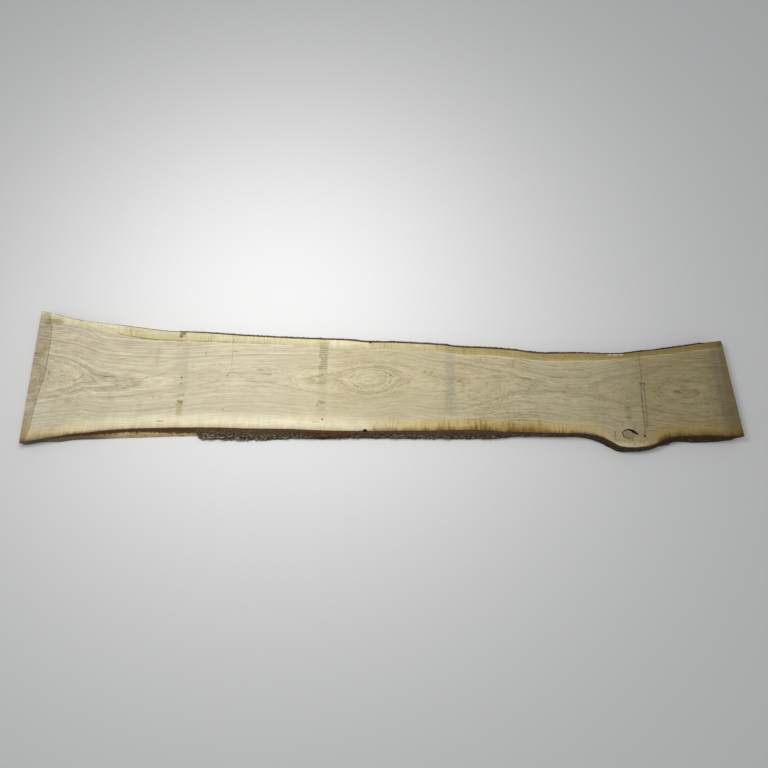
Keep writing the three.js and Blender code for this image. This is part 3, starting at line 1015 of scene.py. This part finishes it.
def side_wood(b, ground, x, z):
    """Straw below, painted lighter towards the floor, inner bark above, weathered wood at the root end, and
    painted shade on a short stretch there.
    """
    grain = b.patches(ground, (60, 400, 3), detail=3.0, roughness=0.6)
    ragged = b.patches(ground, (38, 400, 16), detail=3.0, roughness=0.6, seed=6)
    straw = b.mix(STRAW_STRIP, WEATHERED, b.step(ragged, 0.1, 0.7))
    # Painted highlight: the straw strip is made lighter towards the floor, where its lower edge catches the
    # light.
    straw = b.brightened(straw, b.step(z, 0, 38, 1.85, 1.5))
    straw = b.mix(WEATHERED, straw, b.step(x, *WEATHERED_ENDS))
    # Painted shade: a short stretch of the bare side at the root end is darkened towards near black.
    straw = b.mix(straw, PAINTED_ROOT_SHADE, 0.6 * b.between(x, *PAINTED_ROOT_SHADE_STRETCH))
    band = b.along_curve(x, INNER_BARK_BAND)
    colour = b.mix(straw, INNER_BARK, b.step(z + 9 * ragged, band - 3, band + 3))
    return b.brightened(colour, 1 + 0.28 * grain)


def end_wood(b, ground, colour, across, above):
    """End grain is darker, with pale rays that point away from the pith."""
    angle = across.maths("ARCTAN2", across, above)
    broken = b.patches(ground, (400, 30, 30), detail=1.0)
    ray = b.step(b.wobble(angle * 170) + 0.5 * broken, 0.1, 0.5)
    sawn = b.patches(ground, (400, 90, 2.2), detail=1.0)
    dull = b.tinted(colour, END_WOOD)
    return b.brightened(dull, 1 + 0.5 * ray + 0.16 * sawn)


print("the inner bark starts lowest at", min(v for x, v in INNER_BARK_BAND), "mm above the floor")

# %% [markdown]
# Now the layers are laid over each other: the heart's tone, the sapwood, the rings and the fibres, the
# saw's ticks, and last what happened to the board. A single function could add them all, but each short
# one can be read, and changed, alone.

# %% The heartwood
HEART_PALE = (0.665, 0.595, 0.432)
HEART_TAN = (0.395, 0.325, 0.174)
# Share of tan along the board: partly the wood's own tone, partly painted shade where the light falls off to
# the right.
TAN_AND_PAINTED_FALLOFF = [
    (-2460, 0.18), (-1900, 0.10), (-1300, 0.13), (-700, 0.14), (-300, 0.21), (0, 0.32), (700, 0.38),
    (1200, 0.46), (1500, 0.59), (1900, 0.96), (2460, 1.05),
]
MIDDLE_WARMTH = (1.0, 0.992, 0.94)
MIDDLE = (-350, 1350, 400)  # from, to and how softly
PINKISH = (1.02, 0.988, 0.972)
GREENISH = (0.982, 1.0, 0.96)


def heartwood(b, x, mottle):
    """The heart's colour, pale at the root end and tan towards the top, partly the wood's own tone and partly
    painted fall-off of the light to the right.
    """
    tan = b.along_curve(x, TAN_AND_PAINTED_FALLOFF) + 0.08 * mottle
    colour = b.mix(HEART_PALE, HEART_TAN, tan.most(0.0))
    return b.tinted(colour, MIDDLE_WARMTH, b.between(x, *MIDDLE))


def blotched(b, ground, colour):
    """A colour with faint pink and green blotches."""
    hue = b.patches(ground, (75, 48, 48), seed=11)
    colour = b.tinted(colour, PINKISH, b.step(hue, 0.0, 0.5))
    return b.tinted(colour, GREENISH, b.step(hue, -0.5, 0.0, 1.0, 0.0))


print("shares of tan at the two ends:", TAN_AND_PAINTED_FALLOFF[0][1], "and", TAN_AND_PAINTED_FALLOFF[-1][1])

# %% Rings and fibres
LINE_STRENGTH = [
    (-2460, 1.9), (-1700, 1.7), (-1100, 1.1), (0, 1.0), (560, 1.2), (1060, 1.3), (1250, 1.0),
    (1700, 1.1), (1900, 1.3), (2250, 1.3), (2400, 0.8), (2460, 0.8),
]
RING_STRENGTH = [
    (-2460, 1.3), (-1700, 1.0), (-400, 1.0), (-250, 1.5), (50, 1.5), (250, 1.0), (450, 1.2),
    (620, 1.6), (980, 1.6), (1150, 1.1), (1700, 1.1), (1900, 1.5), (2200, 1.6), (2330, 0.8),
    (2460, 0.6),
]
RING_LINE = (0.70, 0.655, 0.565)


def with_rings(b, tree, colour, x, y, rings, early, streak, in_sap):
    """A colour with its growth rings, the bands that they form, and the fibres and pores between them."""
    of_group = b.wobble(rings / 4, detail=2.0, roughness=0.6)
    dashes = b.step(b.patches(tree, (70, 4.5, 4.5), seed=30), 0.3, 0.8)
    broad = b.patches(tree, (520, 46, 46), detail=1.0)
    faded = b.step(b.patches(tree, (130, 22, 22), seed=17), -0.6, 0.5, 0.25, 1.15)
    calmer = 1 - b.step(y, -250, -60, 0.4, 0.0) * b.step(x, 100, 600, 1.0, 0.0)
    ringed = early * faded * calmer * b.along_curve(x, RING_STRENGTH)
    colour = b.tinted(colour, RING_LINE, ringed * (1 - 0.45 * in_sap))
    lines = 0.11 * of_group + 0.11 * streak + 0.05 * broad - 0.17 * dashes
    lines = lines * calmer * b.along_curve(x, LINE_STRENGTH)
    return b.brightened(colour, 1 + lines * (1 - 0.4 * in_sap))


print("the rings are strongest at", max(v for x, v in RING_STRENGTH), "times their usual strength")

# %% The saw's ticks
SAW_LINE = (0.77, 0.72, 0.58)
TICKED_ANYWHERE = 0.22
TICKED_STRETCH = (500, 1500, 220)  # from, to and how softly


def saw_ticked(b, ground, colour, x, y, in_far, in_near, in_sap):
    """A colour with short dark lines across the board, in irregular bunches, and the tone of each stroke."""
    narrow = b.patches(ground, (8, 75, 200), detail=1.0, seed=1)
    wide = b.patches(ground, (24, 160, 200), detail=1.0, seed=2)
    bunch = b.step(b.patches(ground, (130, 200, 200), seed=3), -0.5, 0.6, 0.35, 1.0)
    tick = b.step(narrow + 0.5 * wide, -0.1, 0.6) * bunch
    in_bands = in_far * b.along_curve(x, FAR_TICKED) + in_near * b.along_curve(x, NEAR_TICKED)
    beside_near = 0.4 * b.between(x, *TICKED_STRETCH) * b.step(y, -230, -70, 1.0, 0.0)
    colour = b.tinted(colour, SAW_LINE, tick * (TICKED_ANYWHERE + in_bands + beside_near))
    return b.brightened(colour, 1 + (narrow + wide) * (0.03 + 0.11 * in_sap))


print("the ticks darken the open heart by a share of", TICKED_ANYWHERE)

# %% The two ends and the chipped edge
LEFT_STRIP = (0.755, 0.715, 0.675)
RIGHT_STRIP = (0.83, 0.78, 0.70)
CHIPPED = (0.62, 0.56, 0.40)
CHIPPED_EDGE = (1598, 1702, 10)  # from, to and how softly
RIGHT_STRIP_EDGE = (2354, 2386)
# Painted shade: the wood darkens towards the right end, as the light falls off there.
RIGHT_END_PAINTED_FALLOFF = (2180, 2420, 1.0, 0.68)  # from, to, and the brightness at both


def with_ends(b, ground, colour, x, y, depth_far):
    """A colour with a grey strip beyond the end check, a tan one at the right end, painted shade that darkens
    the last stretch to the right, and a chipped edge.
    """
    check = b.along_curve(y, END_CHECK_UPWARDS)
    left_strip = b.step(x - check, -6, 0, 1.0, 0.0)
    weathering = 0.8 + 0.7 * b.patches(ground, (60, 90, 90), seed=8)
    colour = b.tinted(colour, LEFT_STRIP, left_strip * weathering)
    colour = b.tinted(colour, RIGHT_STRIP, b.step(x - 0.04 * y, *RIGHT_STRIP_EDGE))
    colour = b.brightened(colour, b.step(x, *RIGHT_END_PAINTED_FALLOFF))
    chips = b.between(x, *CHIPPED_EDGE) * b.step(b.wobble(x / 20), -0.45, -0.2)
    return b.mix(colour, CHIPPED, chips * b.step(depth_far, 7, 15, 1.0, 0.0))


print("the far edge is chipped along", CHIPPED_EDGE[1] - CHIPPED_EDGE[0], "mm")

# %% The side knot
KNOT_WOOD = (0.29, 0.235, 0.115)


def with_knot(b, ground, colour, x, knot, in_knot):
    """A colour with the knot's own wood and specks, and the dark seam round it."""
    specks = b.step(b.patches(ground, (4, 4, 40), detail=1.0), 0.25, 0.45) * in_knot
    colour = b.mix(colour, KNOT_WOOD, 0.65 * in_knot)
    colour = b.brightened(colour, 1 - 0.6 * specks)
    seam = b.between(knot, 0.98, 1.06, 0.05) * b.step(x, KNOT["x"] - 20, KNOT["x"] + 20, 0.75, 0.2)
    return b.brightened(colour, 1 - seam)


print("the knot lies at", (KNOT["x"], KNOT["y"]))

# %% The oak's material
PAINTED_CUT_SHADE = (0.09, 0.06, 0.04)


def oak_material():
    material, b = new_material("oak")
    ground, x, y, z = survey_place(b)
    tree = attribute(b, "grain")
    _, across, above = b.split(tree)
    depth_far, depth_near, _ = b.split(attribute(b, "depth"))
    on_side, on_end, in_cut = b.split(attribute(b, "surface"))
    knot = knot_distance(b, ground, x, y)
    rings, early, in_knot = growth_rings(b, tree, x, across, above, knot)
    streak = b.patches(tree, (190, 6, 6), detail=3.0, roughness=0.6)
    mottle = b.patches(ground, (160, 90, 90))

    colour = heartwood(b, x, mottle)
    colour, in_far = far_sapwood(b, ground, colour, x, depth_far)
    colour, in_near = near_sapwood(b, ground, colour, x, depth_near)
    in_sap = in_far.most(in_near)
    colour = blotched(b, ground, colour)
    colour = with_rings(b, tree, colour, x, y, rings, early, streak, in_sap)
    colour = saw_ticked(b, ground, colour, x, y, in_far, in_near, in_sap)
    colour = with_ends(b, ground, colour, x, y, depth_far)
    colour = b.product(colour, stain(b, ground, x, y))
    colour = with_knot(b, ground, colour, x, knot, in_knot)

    colour = b.mix(colour, side_wood(b, ground, x, z), on_side)
    colour = b.mix(colour, end_wood(b, ground, colour, across, above), on_end)
    # Painted shade: faces inside cracks, holes and notches are dark brown, darker the deeper they lie.
    colour = b.mix(colour, b.brightened(PAINTED_CUT_SHADE, b.step(z, 45, 70, 0.25, 1.0)), in_cut)
    fibre = b.patches(tree, (30, 0.7, 0.7))
    finish_material(b, colour, 0.74 + 0.06 * mottle, 0.35 * fibre + 0.5 * streak, 0.5 * MM)
    return material


oak = oak_material()
print("oak:", len(oak.node_tree.nodes), "nodes")

# %% [markdown]
# ## Saw marks and the ripple of the bare sides
# The band saw left a faint comb of lines across the board. A Displace modifier would push every face alike.
# Geometry Nodes can tell the faces apart: each point of a sawn face sinks by a few tenths of a millimetre,
# and the bare sides get a low ripple instead. Both only sink, so the board keeps its packed size.

# %% A Geometry Nodes tree with named inputs
SAWN_INPUTS = {"Mark spacing": 0.0108, "Mark depth": 0.0003, "Ripple depth": 0.0012, "Seed": 3.0}


def relief_group(name, inputs):
    """A tree with a mesh in and out, and its named number inputs as wires."""
    tree = bpy.data.node_groups.new(name, "GeometryNodeTree")
    tree.interface.new_socket("Geometry", in_out="INPUT", socket_type="NodeSocketGeometry")
    tree.interface.new_socket("Geometry", in_out="OUTPUT", socket_type="NodeSocketGeometry")
    for label, value in inputs.items():
        socket = tree.interface.new_socket(label, in_out="INPUT", socket_type="NodeSocketFloat")
        socket.default_value = value
    bench = Bench(tree)
    start = bench.add("NodeGroupInput")
    return tree, bench, start, {label: start.output(label) for label in inputs}


def finish_group(bench, geometry, material):
    """Ends a tree: copies become real faces, and all of them get the material."""
    whole = bench.add("GeometryNodeRealizeInstances", sockets={0: geometry})
    dressed = bench.add("GeometryNodeSetMaterial", sockets={"Geometry": whole, "Material": material})
    bench.add("NodeGroupOutput", sockets={0: dressed})


def apply_group(target, tree, values):
    """Runs a tree on an object with its inputs set, and keeps the result as a plain mesh."""
    modifier = target.modifiers.new(tree.name, "NODES")
    modifier.node_group = tree
    for item in tree.interface.items_tree:
        if item.in_out == "INPUT" and item.name in values:
            modifier[item.identifier] = values[item.name]
    evaluated_mesh(target)


print("inputs of the sawn relief, in metres:", SAWN_INPUTS)


# %% The sawn relief
def sawn_relief():
    tree, b, start, size = relief_group("sawn relief", SAWN_INPUTS)
    x, y, z = b.split(b.add("GeometryNodeInputPosition"))
    normal = b.add("GeometryNodeInputNormal")
    up = abs(b.split(normal)[2])
    settings = {"data_type": "FLOAT_VECTOR"}
    surface = b.add("GeometryNodeInputNamedAttribute", settings, {"Name": "surface"})
    on_side, on_end, in_cut = b.split(surface)
    sawn = b.step(up, 0.85, 0.98) * (1 - on_side) * (1 - in_cut)
    wobble = b.noise(x / 0.09, y / 0.5, size["Seed"], detail=1.0)
    comb = ((x + 0.05 * y) / size["Mark spacing"] + 0.8 * wobble).fraction()
    tooth = abs(comb - 0.35) * 1.5
    strength = b.step(b.noise(x / 0.12, y / 0.3, size["Seed"] + 7.0), -0.5, 0.7, 0.25, 1.0)
    lumps = b.noise(x / 0.05, y / 0.02, z / 0.009, detail=3.0)
    sink = size["Mark depth"] * tooth * strength * sawn
    sink = sink + size["Ripple depth"] * b.step(lumps, -0.8, 0.8) * on_side
    offset = b.add("ShaderNodeVectorMath", {"operation": "SCALE"}, {0: normal, 3: 0.0 - sink})
    moved = b.add("GeometryNodeSetPosition", sockets={"Geometry": start, "Offset": offset})
    finish_group(b, moved, oak)
    return tree


WOOD_CREASE = math.radians(42)

apply_group(board, sawn_relief(), SAWN_INPUTS)
board.data.shade_smooth()
board.data.set_sharp_from_angle(angle=WOOD_CREASE)
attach(board, "root")
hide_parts("oak_slab")
print("sawn board:", len(board.data.polygons), "faces")

# %% [markdown]
# ## The bark
# Bark is a crust that comes away from the wood, torn off in places. It could be raised out of the board by
# displacement, but then it would have no torn ends and no gap behind it. So each strip is a shell of its
# own, a second loft: its inner face follows the wood, its outer face stands off by the thickness of the
# bark, and its ends are broken off raggedly. The strips start smooth, and a Geometry Nodes tree then
# breaks them into plates, as the trunk's growth did.

# %% How thick the bark is, in millimetres
NEAR_BARK = [
    (-1215, 34), (-1060, 35), (-930, 34), (-780, 29), (-600, 23), (-390, 19), (-155, 17), (65, 17),
    (330, 22), (515, 26), (735, 22), (905, 11), (1045, 11), (1190, 7), (1400, 8), (1470, 13), (1650, 11),
    (1780, 13), (1870, 16), (1935, 20), (2010, 13), (2170, 14), (2260, 11), (2400, 7), (2418, 6),
]
FAR_BARK = [
    (-1450, 5), (-1330, 8), (-1000, 10), (-500, 11), (0, 12), (600, 12), (1050, 13), (1500, 9),
    (1900, 9), (2330, 7),
]
FAR_BARK_WORN = 0.75
THINNEST = 1.2
TOP_ROW = 0.06
CRUMBLED_ROWS = 0.34
RAGGED_END = 15
THINNEST_END = 0.35
ROUNDED_ROWS = [0, 0.2, 0.4, 0.7, 1]
ROUNDED = [0.72, 0.9, 1, 0.97, 0.86]


def bark_thickness(table, x, row):
    """The thickness, uneven and rounded over the rows, and less where the top edge has crumbled away."""
    rims = np.interp(row, ROUNDED_ROWS, ROUNDED)
    plates = np.sin(x / 29 + 3 * row) * np.sin(x / 67 - 5 * row)
    furrows = np.sin(x / 113 + 14 * row)
    crumbled = 0.62 + 0.2 * smooth_noise(x, 31, 11) + 0.12 * smooth_noise(x, 9, 12)
    slope = crumbled + (1 - crumbled) * np.clip((row - TOP_ROW) / CRUMBLED_ROWS, 0, 1)
    return curve_through(table)(x) * rims * (1 + 0.16 * plates + 0.12 * furrows) * np.minimum(slope, 1)


def ends_fade(x, row, low, high):
    """1 along the strip, falling to a thin torn lip at both of its ends."""
    torn = RAGGED_END * (0.5 + 0.5 * smooth_noise(900 * row, 170, 13))
    from_low = np.clip((x - low - 0.4 * torn) / RAGGED_END, 0, 1)
    from_high = np.clip((high - x - 0.5 * torn) / RAGGED_END, 0, 1)
    return THINNEST_END + (1 - THINNEST_END) * np.minimum(from_low, from_high) ** 0.5


print("thickest near bark:", max(v for x, v in NEAR_BARK), " far bark:", max(v for x, v in FAR_BARK))

# %% The smooth strips of bark
BARK_STEP = 2.4
BARK_GAP = 0.45
OUTER_ROWS = 30
INNER_ROWS = 7
RIM_STEPS = 4
FURROW_SHARE = 0.55
NEAR_TORN_PAST = 56  # the near bark starts this far left of the packed strip, in millimetres


def bark_strip(node, table, side, edge, worn_to=1.0, torn_past=0):
    """A strip as long as the packed one, or longer by `torn_past` millimetres at its left end."""
    low, high = [corner.x / MM - SHIFT[0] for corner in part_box(node)]
    low -= torn_past
    count = int((high - low) / BARK_STEP)
    first, last = [station_at(x, edge(x)) for x in (low + 1, high - 1)]
    station = np.linspace(first, last, count)[:, None]
    x = x_on(station, edge_on(station, edge))
    row = np.linspace(TOP_ROW, 1, OUTER_ROWS)[None, :]
    thickness = worn_to * bark_thickness(table, x, row) * ends_fade(x, row, low, high)
    thickness = np.maximum(thickness, THINNEST)
    outer = side(station, row, BARK_GAP + thickness)
    inner_row = np.linspace(1, TOP_ROW, INNER_ROWS)[None, :]
    inner = side(station, inner_row, BARK_GAP)
    steps = (np.arange(1, RIM_STEPS + 1) / (RIM_STEPS + 1))[None, :, None]
    foot = outer[:, -1:] * (1 - steps) + inner[:, :1] * steps
    rim = inner[:, -1:] * (1 - steps) + outer[:, :1] * steps
    rings = np.concatenate([outer, foot, inner, rim], axis=1)
    size = rings.shape[1]
    faces = loft_faces(count, size)
    faces += [list(range(size - 1, -1, -1)), list(range((count - 1) * size, count * size))]
    mesh = new_mesh(node, to_metres(rings.reshape(-1, 3)), faces)
    if volume_of(mesh) < 0:
        mesh.flip_normals()
    skin = np.zeros((count, size))
    skin[:, :OUTER_ROWS] = FURROW_SHARE * thickness
    skin[:, -RIM_STEPS:] = FURROW_SHARE * thickness[:, :1] * np.linspace(0.2, 0.9, RIM_STEPS)
    mesh.attributes.new("skin", "FLOAT", "POINT").data.foreach_set("value", skin.ravel())
    print(node, "strip:", len(mesh.polygons), "faces,", round(volume_of(mesh), 2), "litres")
    return new_object(node + "_rough", mesh)


near_strip = bark_strip("near_bark", NEAR_BARK, near_side, near_edge, torn_past=NEAR_TORN_PAST)
far_strip = bark_strip("far_bark", FAR_BARK, far_side, far_edge, FAR_BARK_WORN)

# %% [markdown]
# ## The bark's finish
# Plates are brown and weather to grey, most at the root end. Algae and lichen tint some stretches, and the
# inner bark shows red-brown wherever the rim is torn. The material could guess from the shape where the
# furrows are, but the relief that makes them knows it best. It will leave two attributes on the mesh: how
# deep a point lies in a furrow, and a random tone for its plate.

# %% Colours of the bark
BARK_BROWN = (0.102, 0.063, 0.027)
BARK_GREY = (0.300, 0.250, 0.168)
BARK_FURROW_AND_SHADE = (0.040, 0.027, 0.014)
BARK_RED = (0.150, 0.062, 0.028)
BARK_RIM = (0.120, 0.068, 0.028)
ALGAE = (0.085, 0.088, 0.042)
LICHEN = (0.270, 0.290, 0.235)
BARK_PAINTED_FALLOFF = (700, 2300, 1.0, 0.55)  # from, to, and the brightness at both
RIM_REACH = [  # how high the brown rim begins, in millimetres
    (-1460, 50), (-1220, 50), (-800, 46), (-560, 46), (-440, 41), (-290, 40), (-100, 50), (400, 53),
    (800, 44), (1000, 48), (1300, 46), (1560, 55), (1700, 58), (1850, 48), (2100, 44), (2460, 40),
]
WEATHERING = [
    (-1460, 0.6), (-1220, 1.1), (-800, 1.0), (-600, 0.7), (-470, 0.45), (-380, 0.05), (-290, 0.15),
    (-200, 0.55), (0, 0.5), (160, 0.7), (330, 0.7), (460, 0.5), (620, 0.55), (780, 0.35), (900, 0.6),
    (1110, 0.5), (1300, 0.25), (1540, 0.25), (1750, 0.35), (1950, 0.3), (2100, 0.5), (2230, 0.4),
    (2460, 0.15),
]
REDNESS = [
    (-1460, 0), (-520, 0), (-440, 0.7), (-290, 0.7), (-180, 0.15), (400, 0.1), (1400, 0.2), (1500, 0.6),
    (1560, 0.2), (1850, 0.3), (2460, 0.35),
]
GREENNESS = [
    (-1460, 0), (-800, 0.15), (-640, 0.5), (-480, 0.2), (-300, 0), (400, 0.15), (480, 0.5), (560, 0.1),
    (1200, 0.1), (1560, 0.55), (1740, 0.6), (1800, 0.1), (2460, 0.1),
]
print("tables for the bark's colours hold", len(RIM_REACH + WEATHERING + REDNESS + GREENNESS), "points")


# %% The bark's material
def bark_material():
    material, b = new_material("bark")
    ground, x, y, z = survey_place(b)
    furrow = attribute(b, "furrow", "Fac")
    plate = attribute(b, "plate", "Fac")
    blotch = b.patches(ground, (34, 18, 16), detail=3.0, roughness=0.6)
    grit = b.patches(ground, (3.2, 3.2, 3.2), detail=3.0, roughness=0.65)
    fine = b.patches(ground, (9, 2.2, 2.2))

    grey = b.along_curve(x, WEATHERING) * 1.15 + 0.9 * (plate - 0.5) + 0.7 * blotch
    colour = b.mix(BARK_BROWN, BARK_GREY, b.step(grey, 0.1, 1.1))
    red = b.along_curve(x, REDNESS) + 0.8 * blotch + b.step(z, 54, 66, 0.0, 0.55)
    colour = b.mix(colour, BARK_RED, b.step(red, 0.35, 0.95))
    green = b.along_curve(x, GREENNESS) + 0.5 * blotch
    colour = b.mix(colour, ALGAE, 0.7 * b.step(green, 0.35, 0.9))
    crust = b.patches(ground, (15, 12, 12), roughness=0.7, seed=4)
    colour = b.mix(colour, LICHEN, 0.7 * b.step(crust + 0.3 * green, 0.52, 0.66) * (1 - furrow))
    rim = b.along_curve(x, RIM_REACH)
    in_rim = b.step(z + 10 * blotch, rim - 4, rim + 5)
    colour = b.mix(colour, b.mix(BARK_RIM, BARK_RED, b.step(red, 0.5, 1.2)), 0.9 * in_rim)
    # The furrows are painted near black: partly the bark's darker colour in them, partly painted shade.
    colour = b.mix(colour, BARK_FURROW_AND_SHADE, b.step(furrow, 0.3, 0.95) * (0.85 - 0.4 * in_rim))
    pale_flecks = b.step(b.patches(ground, (9, 7, 6), seed=13), 0.1, 0.7, 0.0, 0.7)
    colour = b.brightened(colour, 0.92 + pale_flecks + 0.42 * grit + 0.32 * fine)
    # Painted shade: the bark darkens towards the right end, as the light falls off there.
    colour = b.brightened(colour, b.step(x, *BARK_PAINTED_FALLOFF))
    finish_material(b, colour, b.step(furrow, 0.0, 1.0, 0.8, 0.95), 0.6 * grit + 0.4 * fine, 0.9 * MM)
    return material


bark = bark_material()
print("bark:", len(bark.node_tree.nodes), "nodes")

# %% [markdown]
# The plates come from a Voronoi pattern stretched along the trunk: its cell borders are the furrows, each
# cell stands at a height of its own, and a finer pattern cracks the plates. They could be sculpted, but a
# rule makes metres of bark with no two plates alike. The depth of a furrow is kept within a share of the
# bark's own thickness. Loose flakes are then scattered over the skin and pressed in.

# %% The pattern of the plates
BARK_INPUTS = {
    "Plate length": 0.032, "Plate width": 0.013, "Crumb": 0.004,
    "Flakes per square metre": 900.0, "Flake size": 0.009, "Seed": 1.0,
}


def cells(b, place, feature, output=0):
    return b.add("ShaderNodeTexVoronoi", {"feature": feature}, {"Vector": place, "Scale": 1.0}, output)


def plate_pattern(b, x, y, z, size):
    """How deep each point lies, from 0 on a plate to 1 in a furrow, and the level of its plate."""
    bend = 0.5 * b.noise(x / 0.05, y / 0.02, z / 0.02 + size["Seed"])
    along = x / size["Plate length"] + bend
    across = y / size["Plate width"] + size["Seed"]
    up = z / size["Plate width"] + 0.8 * bend
    plates = b.vector(along, across, up)
    furrow = b.step(cells(b, plates, "DISTANCE_TO_EDGE"), 0.02, 0.3, 1.0, 0.0)
    level = b.split(cells(b, plates, "F1", "Color"))[0]
    cracks = b.vector(2.3 * along, 2.6 * across, 2.6 * up)
    crack = b.step(cells(b, cracks, "DISTANCE_TO_EDGE"), 0.0, 0.2, 1.0, 0.0)
    grit = b.noise(x / size["Crumb"], y / size["Crumb"], z / size["Crumb"])
    return (0.7 * furrow + 0.25 * crack + 0.35 * level + 0.12 * grit).most(0.0).least(1.0), level


print("inputs of the bark's relief, in metres:", BARK_INPUTS)

# %% Loose flakes
FLAKE_TILT = 0.25
SMALLEST_FLAKE, LARGEST_FLAKE = 0.4, 1.3


def stored(b, geometry, name, value):
    """Keeps a number at every point, for the material."""
    sockets = {"Geometry": geometry, "Name": name, "Value": value}
    return b.add("GeometryNodeStoreNamedAttribute", {"data_type": "FLOAT", "domain": "POINT"}, sockets)


def flakes_on(b, surface, clear, size):
    """Ragged discs scattered over a surface where it is clear of rims, each with a turn and a tone."""
    spots = b.add("GeometryNodeDistributePointsOnFaces", sockets={
        "Mesh": surface, "Selection": clear.maths("GREATER_THAN", clear, 0.5),
        "Density": size["Flakes per square metre"], "Seed": 5,
    })
    tone = b.add("FunctionNodeRandomValue", {"data_type": "FLOAT"}, {"Seed": 2}, output=1)
    toned = stored(b, spots, "plate", tone)
    flake = b.add("GeometryNodeMeshCylinder", sockets={"Vertices": 7, "Radius": 0.5, "Depth": 0.16})
    jitter = b.add("ShaderNodeTexNoise", sockets={"Scale": 1.7}, output="Color")
    jitter = b.add("ShaderNodeVectorMath", {"operation": "SUBTRACT"}, {0: jitter, 1: (0.5, 0.5, 0.5)})
    ragged = b.add("GeometryNodeSetPosition", sockets={"Geometry": flake, "Offset": jitter})
    turned = b.add("FunctionNodeRandomValue", {"data_type": "FLOAT_VECTOR"}, {
        0: (-FLAKE_TILT, -FLAKE_TILT, -math.pi), 1: (FLAKE_TILT, FLAKE_TILT, math.pi), "Seed": 3,
    })
    facing = b.add("FunctionNodeRotateRotation", {"rotation_space": "LOCAL"}, {
        0: spots.output("Rotation"), 1: b.add("FunctionNodeEulerToRotation", sockets={0: turned}),
    })
    sizes = {2: SMALLEST_FLAKE, 3: LARGEST_FLAKE, "Seed": 4}
    spread = b.add("FunctionNodeRandomValue", {"data_type": "FLOAT"}, sizes, output=1)
    return b.add("GeometryNodeInstanceOnPoints", sockets={
        "Points": toned, "Instance": ragged, "Rotation": facing, "Scale": spread * size["Flake size"],
    })


print("a flake is", SMALLEST_FLAKE, "to", LARGEST_FLAKE, "times the flake size")


# %% The bark's relief
def bark_relief():
    tree, b, start, size = relief_group("bark relief", BARK_INPUTS)
    x, y, z = b.split(b.add("GeometryNodeInputPosition"))
    facing_x, facing_y, facing_z = b.split(b.add("GeometryNodeInputNormal"))
    skin = b.add("GeometryNodeInputNamedAttribute", {"data_type": "FLOAT"}, {"Name": "skin"})
    sink, level = plate_pattern(b, x, y, z, size)
    marked = stored(b, stored(b, start, "furrow", sink), "plate", level)
    # Furrows cut level into the side, because a slanting cut would come out under the board.
    cut_in = sink * skin * -MM
    drop = cut_in * facing_z.most(0.0) * b.step(z, 0.005, 0.03)
    offset = b.vector(cut_in * facing_x, cut_in * facing_y, drop)
    moved = b.add("GeometryNodeSetPosition", sockets={"Geometry": marked, "Offset": offset})
    room = size["Flake size"]
    clear = b.between(z, room, 0.065 - room, 0.001) * b.step(skin, 1.0, 1.5)
    joined = b.add("GeometryNodeJoinGeometry", sockets={0: moved})
    tree.links.new(flakes_on(b, moved, clear, size).socket, joined.socket.node.inputs[0])
    finish_group(b, joined, bark)
    return tree


relief = bark_relief()
print("the bark's relief has", len(relief.nodes), "nodes")

# %% Run it on both strips
BARK_CREASE = math.radians(50)
FAR_INPUTS = {**BARK_INPUTS, "Seed": 8.0, "Flakes per square metre": 300.0}


def finish_bark(strip, node, values):
    apply_group(strip, relief, values)
    strip.name = node + "_plates"
    strip.data.shade_smooth()
    strip.data.set_sharp_from_angle(angle=BARK_CREASE)
    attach(strip, "root")
    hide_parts(node)
    print(strip.name, ":", sum(len(p.vertices) - 2 for p in strip.data.polygons), "triangles")


finish_bark(near_strip, "near_bark", BARK_INPUTS)
finish_bark(far_strip, "far_bark", FAR_INPUTS)

# %% [markdown]
# ## Floor and light
# The board lies on a plain pale floor in a small studio. A ring of lamps would show it evenly, but one
# large soft lamp above the left of the middle lets the light fall off to the right, as it does in the
# photograph, and still draws the furrows. A dim sky fills the shadows.

# %% Floor
FLOOR_SIZE = 60
FLOOR_COLOUR = (0.78, 0.775, 0.76, 1.0)
FLOOR_ROUGHNESS = 0.85

floor_points = np.array([(-1, -1, 0), (1, -1, 0), (1, 1, 0), (-1, 1, 0)]) * FLOOR_SIZE / 2
floor = new_object("floor", new_mesh("floor", floor_points, [(0, 1, 2, 3)]))
floor_material, bench = new_material("pale floor")
paint = {"Base Color": FLOOR_COLOUR, "Roughness": FLOOR_ROUGHNESS}
paint = bench.add("ShaderNodeBsdfPrincipled", sockets=paint)
bench.add("ShaderNodeOutputMaterial", sockets={"Surface": paint})
floor.data.materials.append(floor_material)
print("floor:", FLOOR_SIZE, "m square")

# %% Light
LAMP_PLACE = Vector((-0.75, 0.6, 2.8))
LAMP_AIM = Vector((-0.75, 0.599, 0))
LAMP_SIZE = (1.6, 1.2)
LAMP_POWER = 64
SKY_COLOUR = (0.9, 0.92, 0.95, 1)
SKY_STRENGTH = 0.46

lamp_data = bpy.data.lights.new("key", "AREA")
lamp_data.shape = "RECTANGLE"
lamp_data.size, lamp_data.size_y = LAMP_SIZE
lamp_data.energy = LAMP_POWER
lamp = bpy.data.objects.new("key", lamp_data)
lamp.location = LAMP_PLACE
lamp.rotation_euler = (LAMP_AIM - LAMP_PLACE).to_track_quat("-Z", "Y").to_euler()
lamp.visible_camera = False
bpy.context.scene.collection.objects.link(lamp)

world = bpy.data.worlds.new("studio")
world.use_nodes = True
sky = world.node_tree.nodes["Background"].inputs
sky["Color"].default_value = SKY_COLOUR
sky["Strength"].default_value = SKY_STRENGTH
bpy.context.scene.world = world
bpy.context.scene.view_settings.view_transform = "Standard"
print("lamp:", LAMP_POWER, "W at", tuple(LAMP_PLACE))
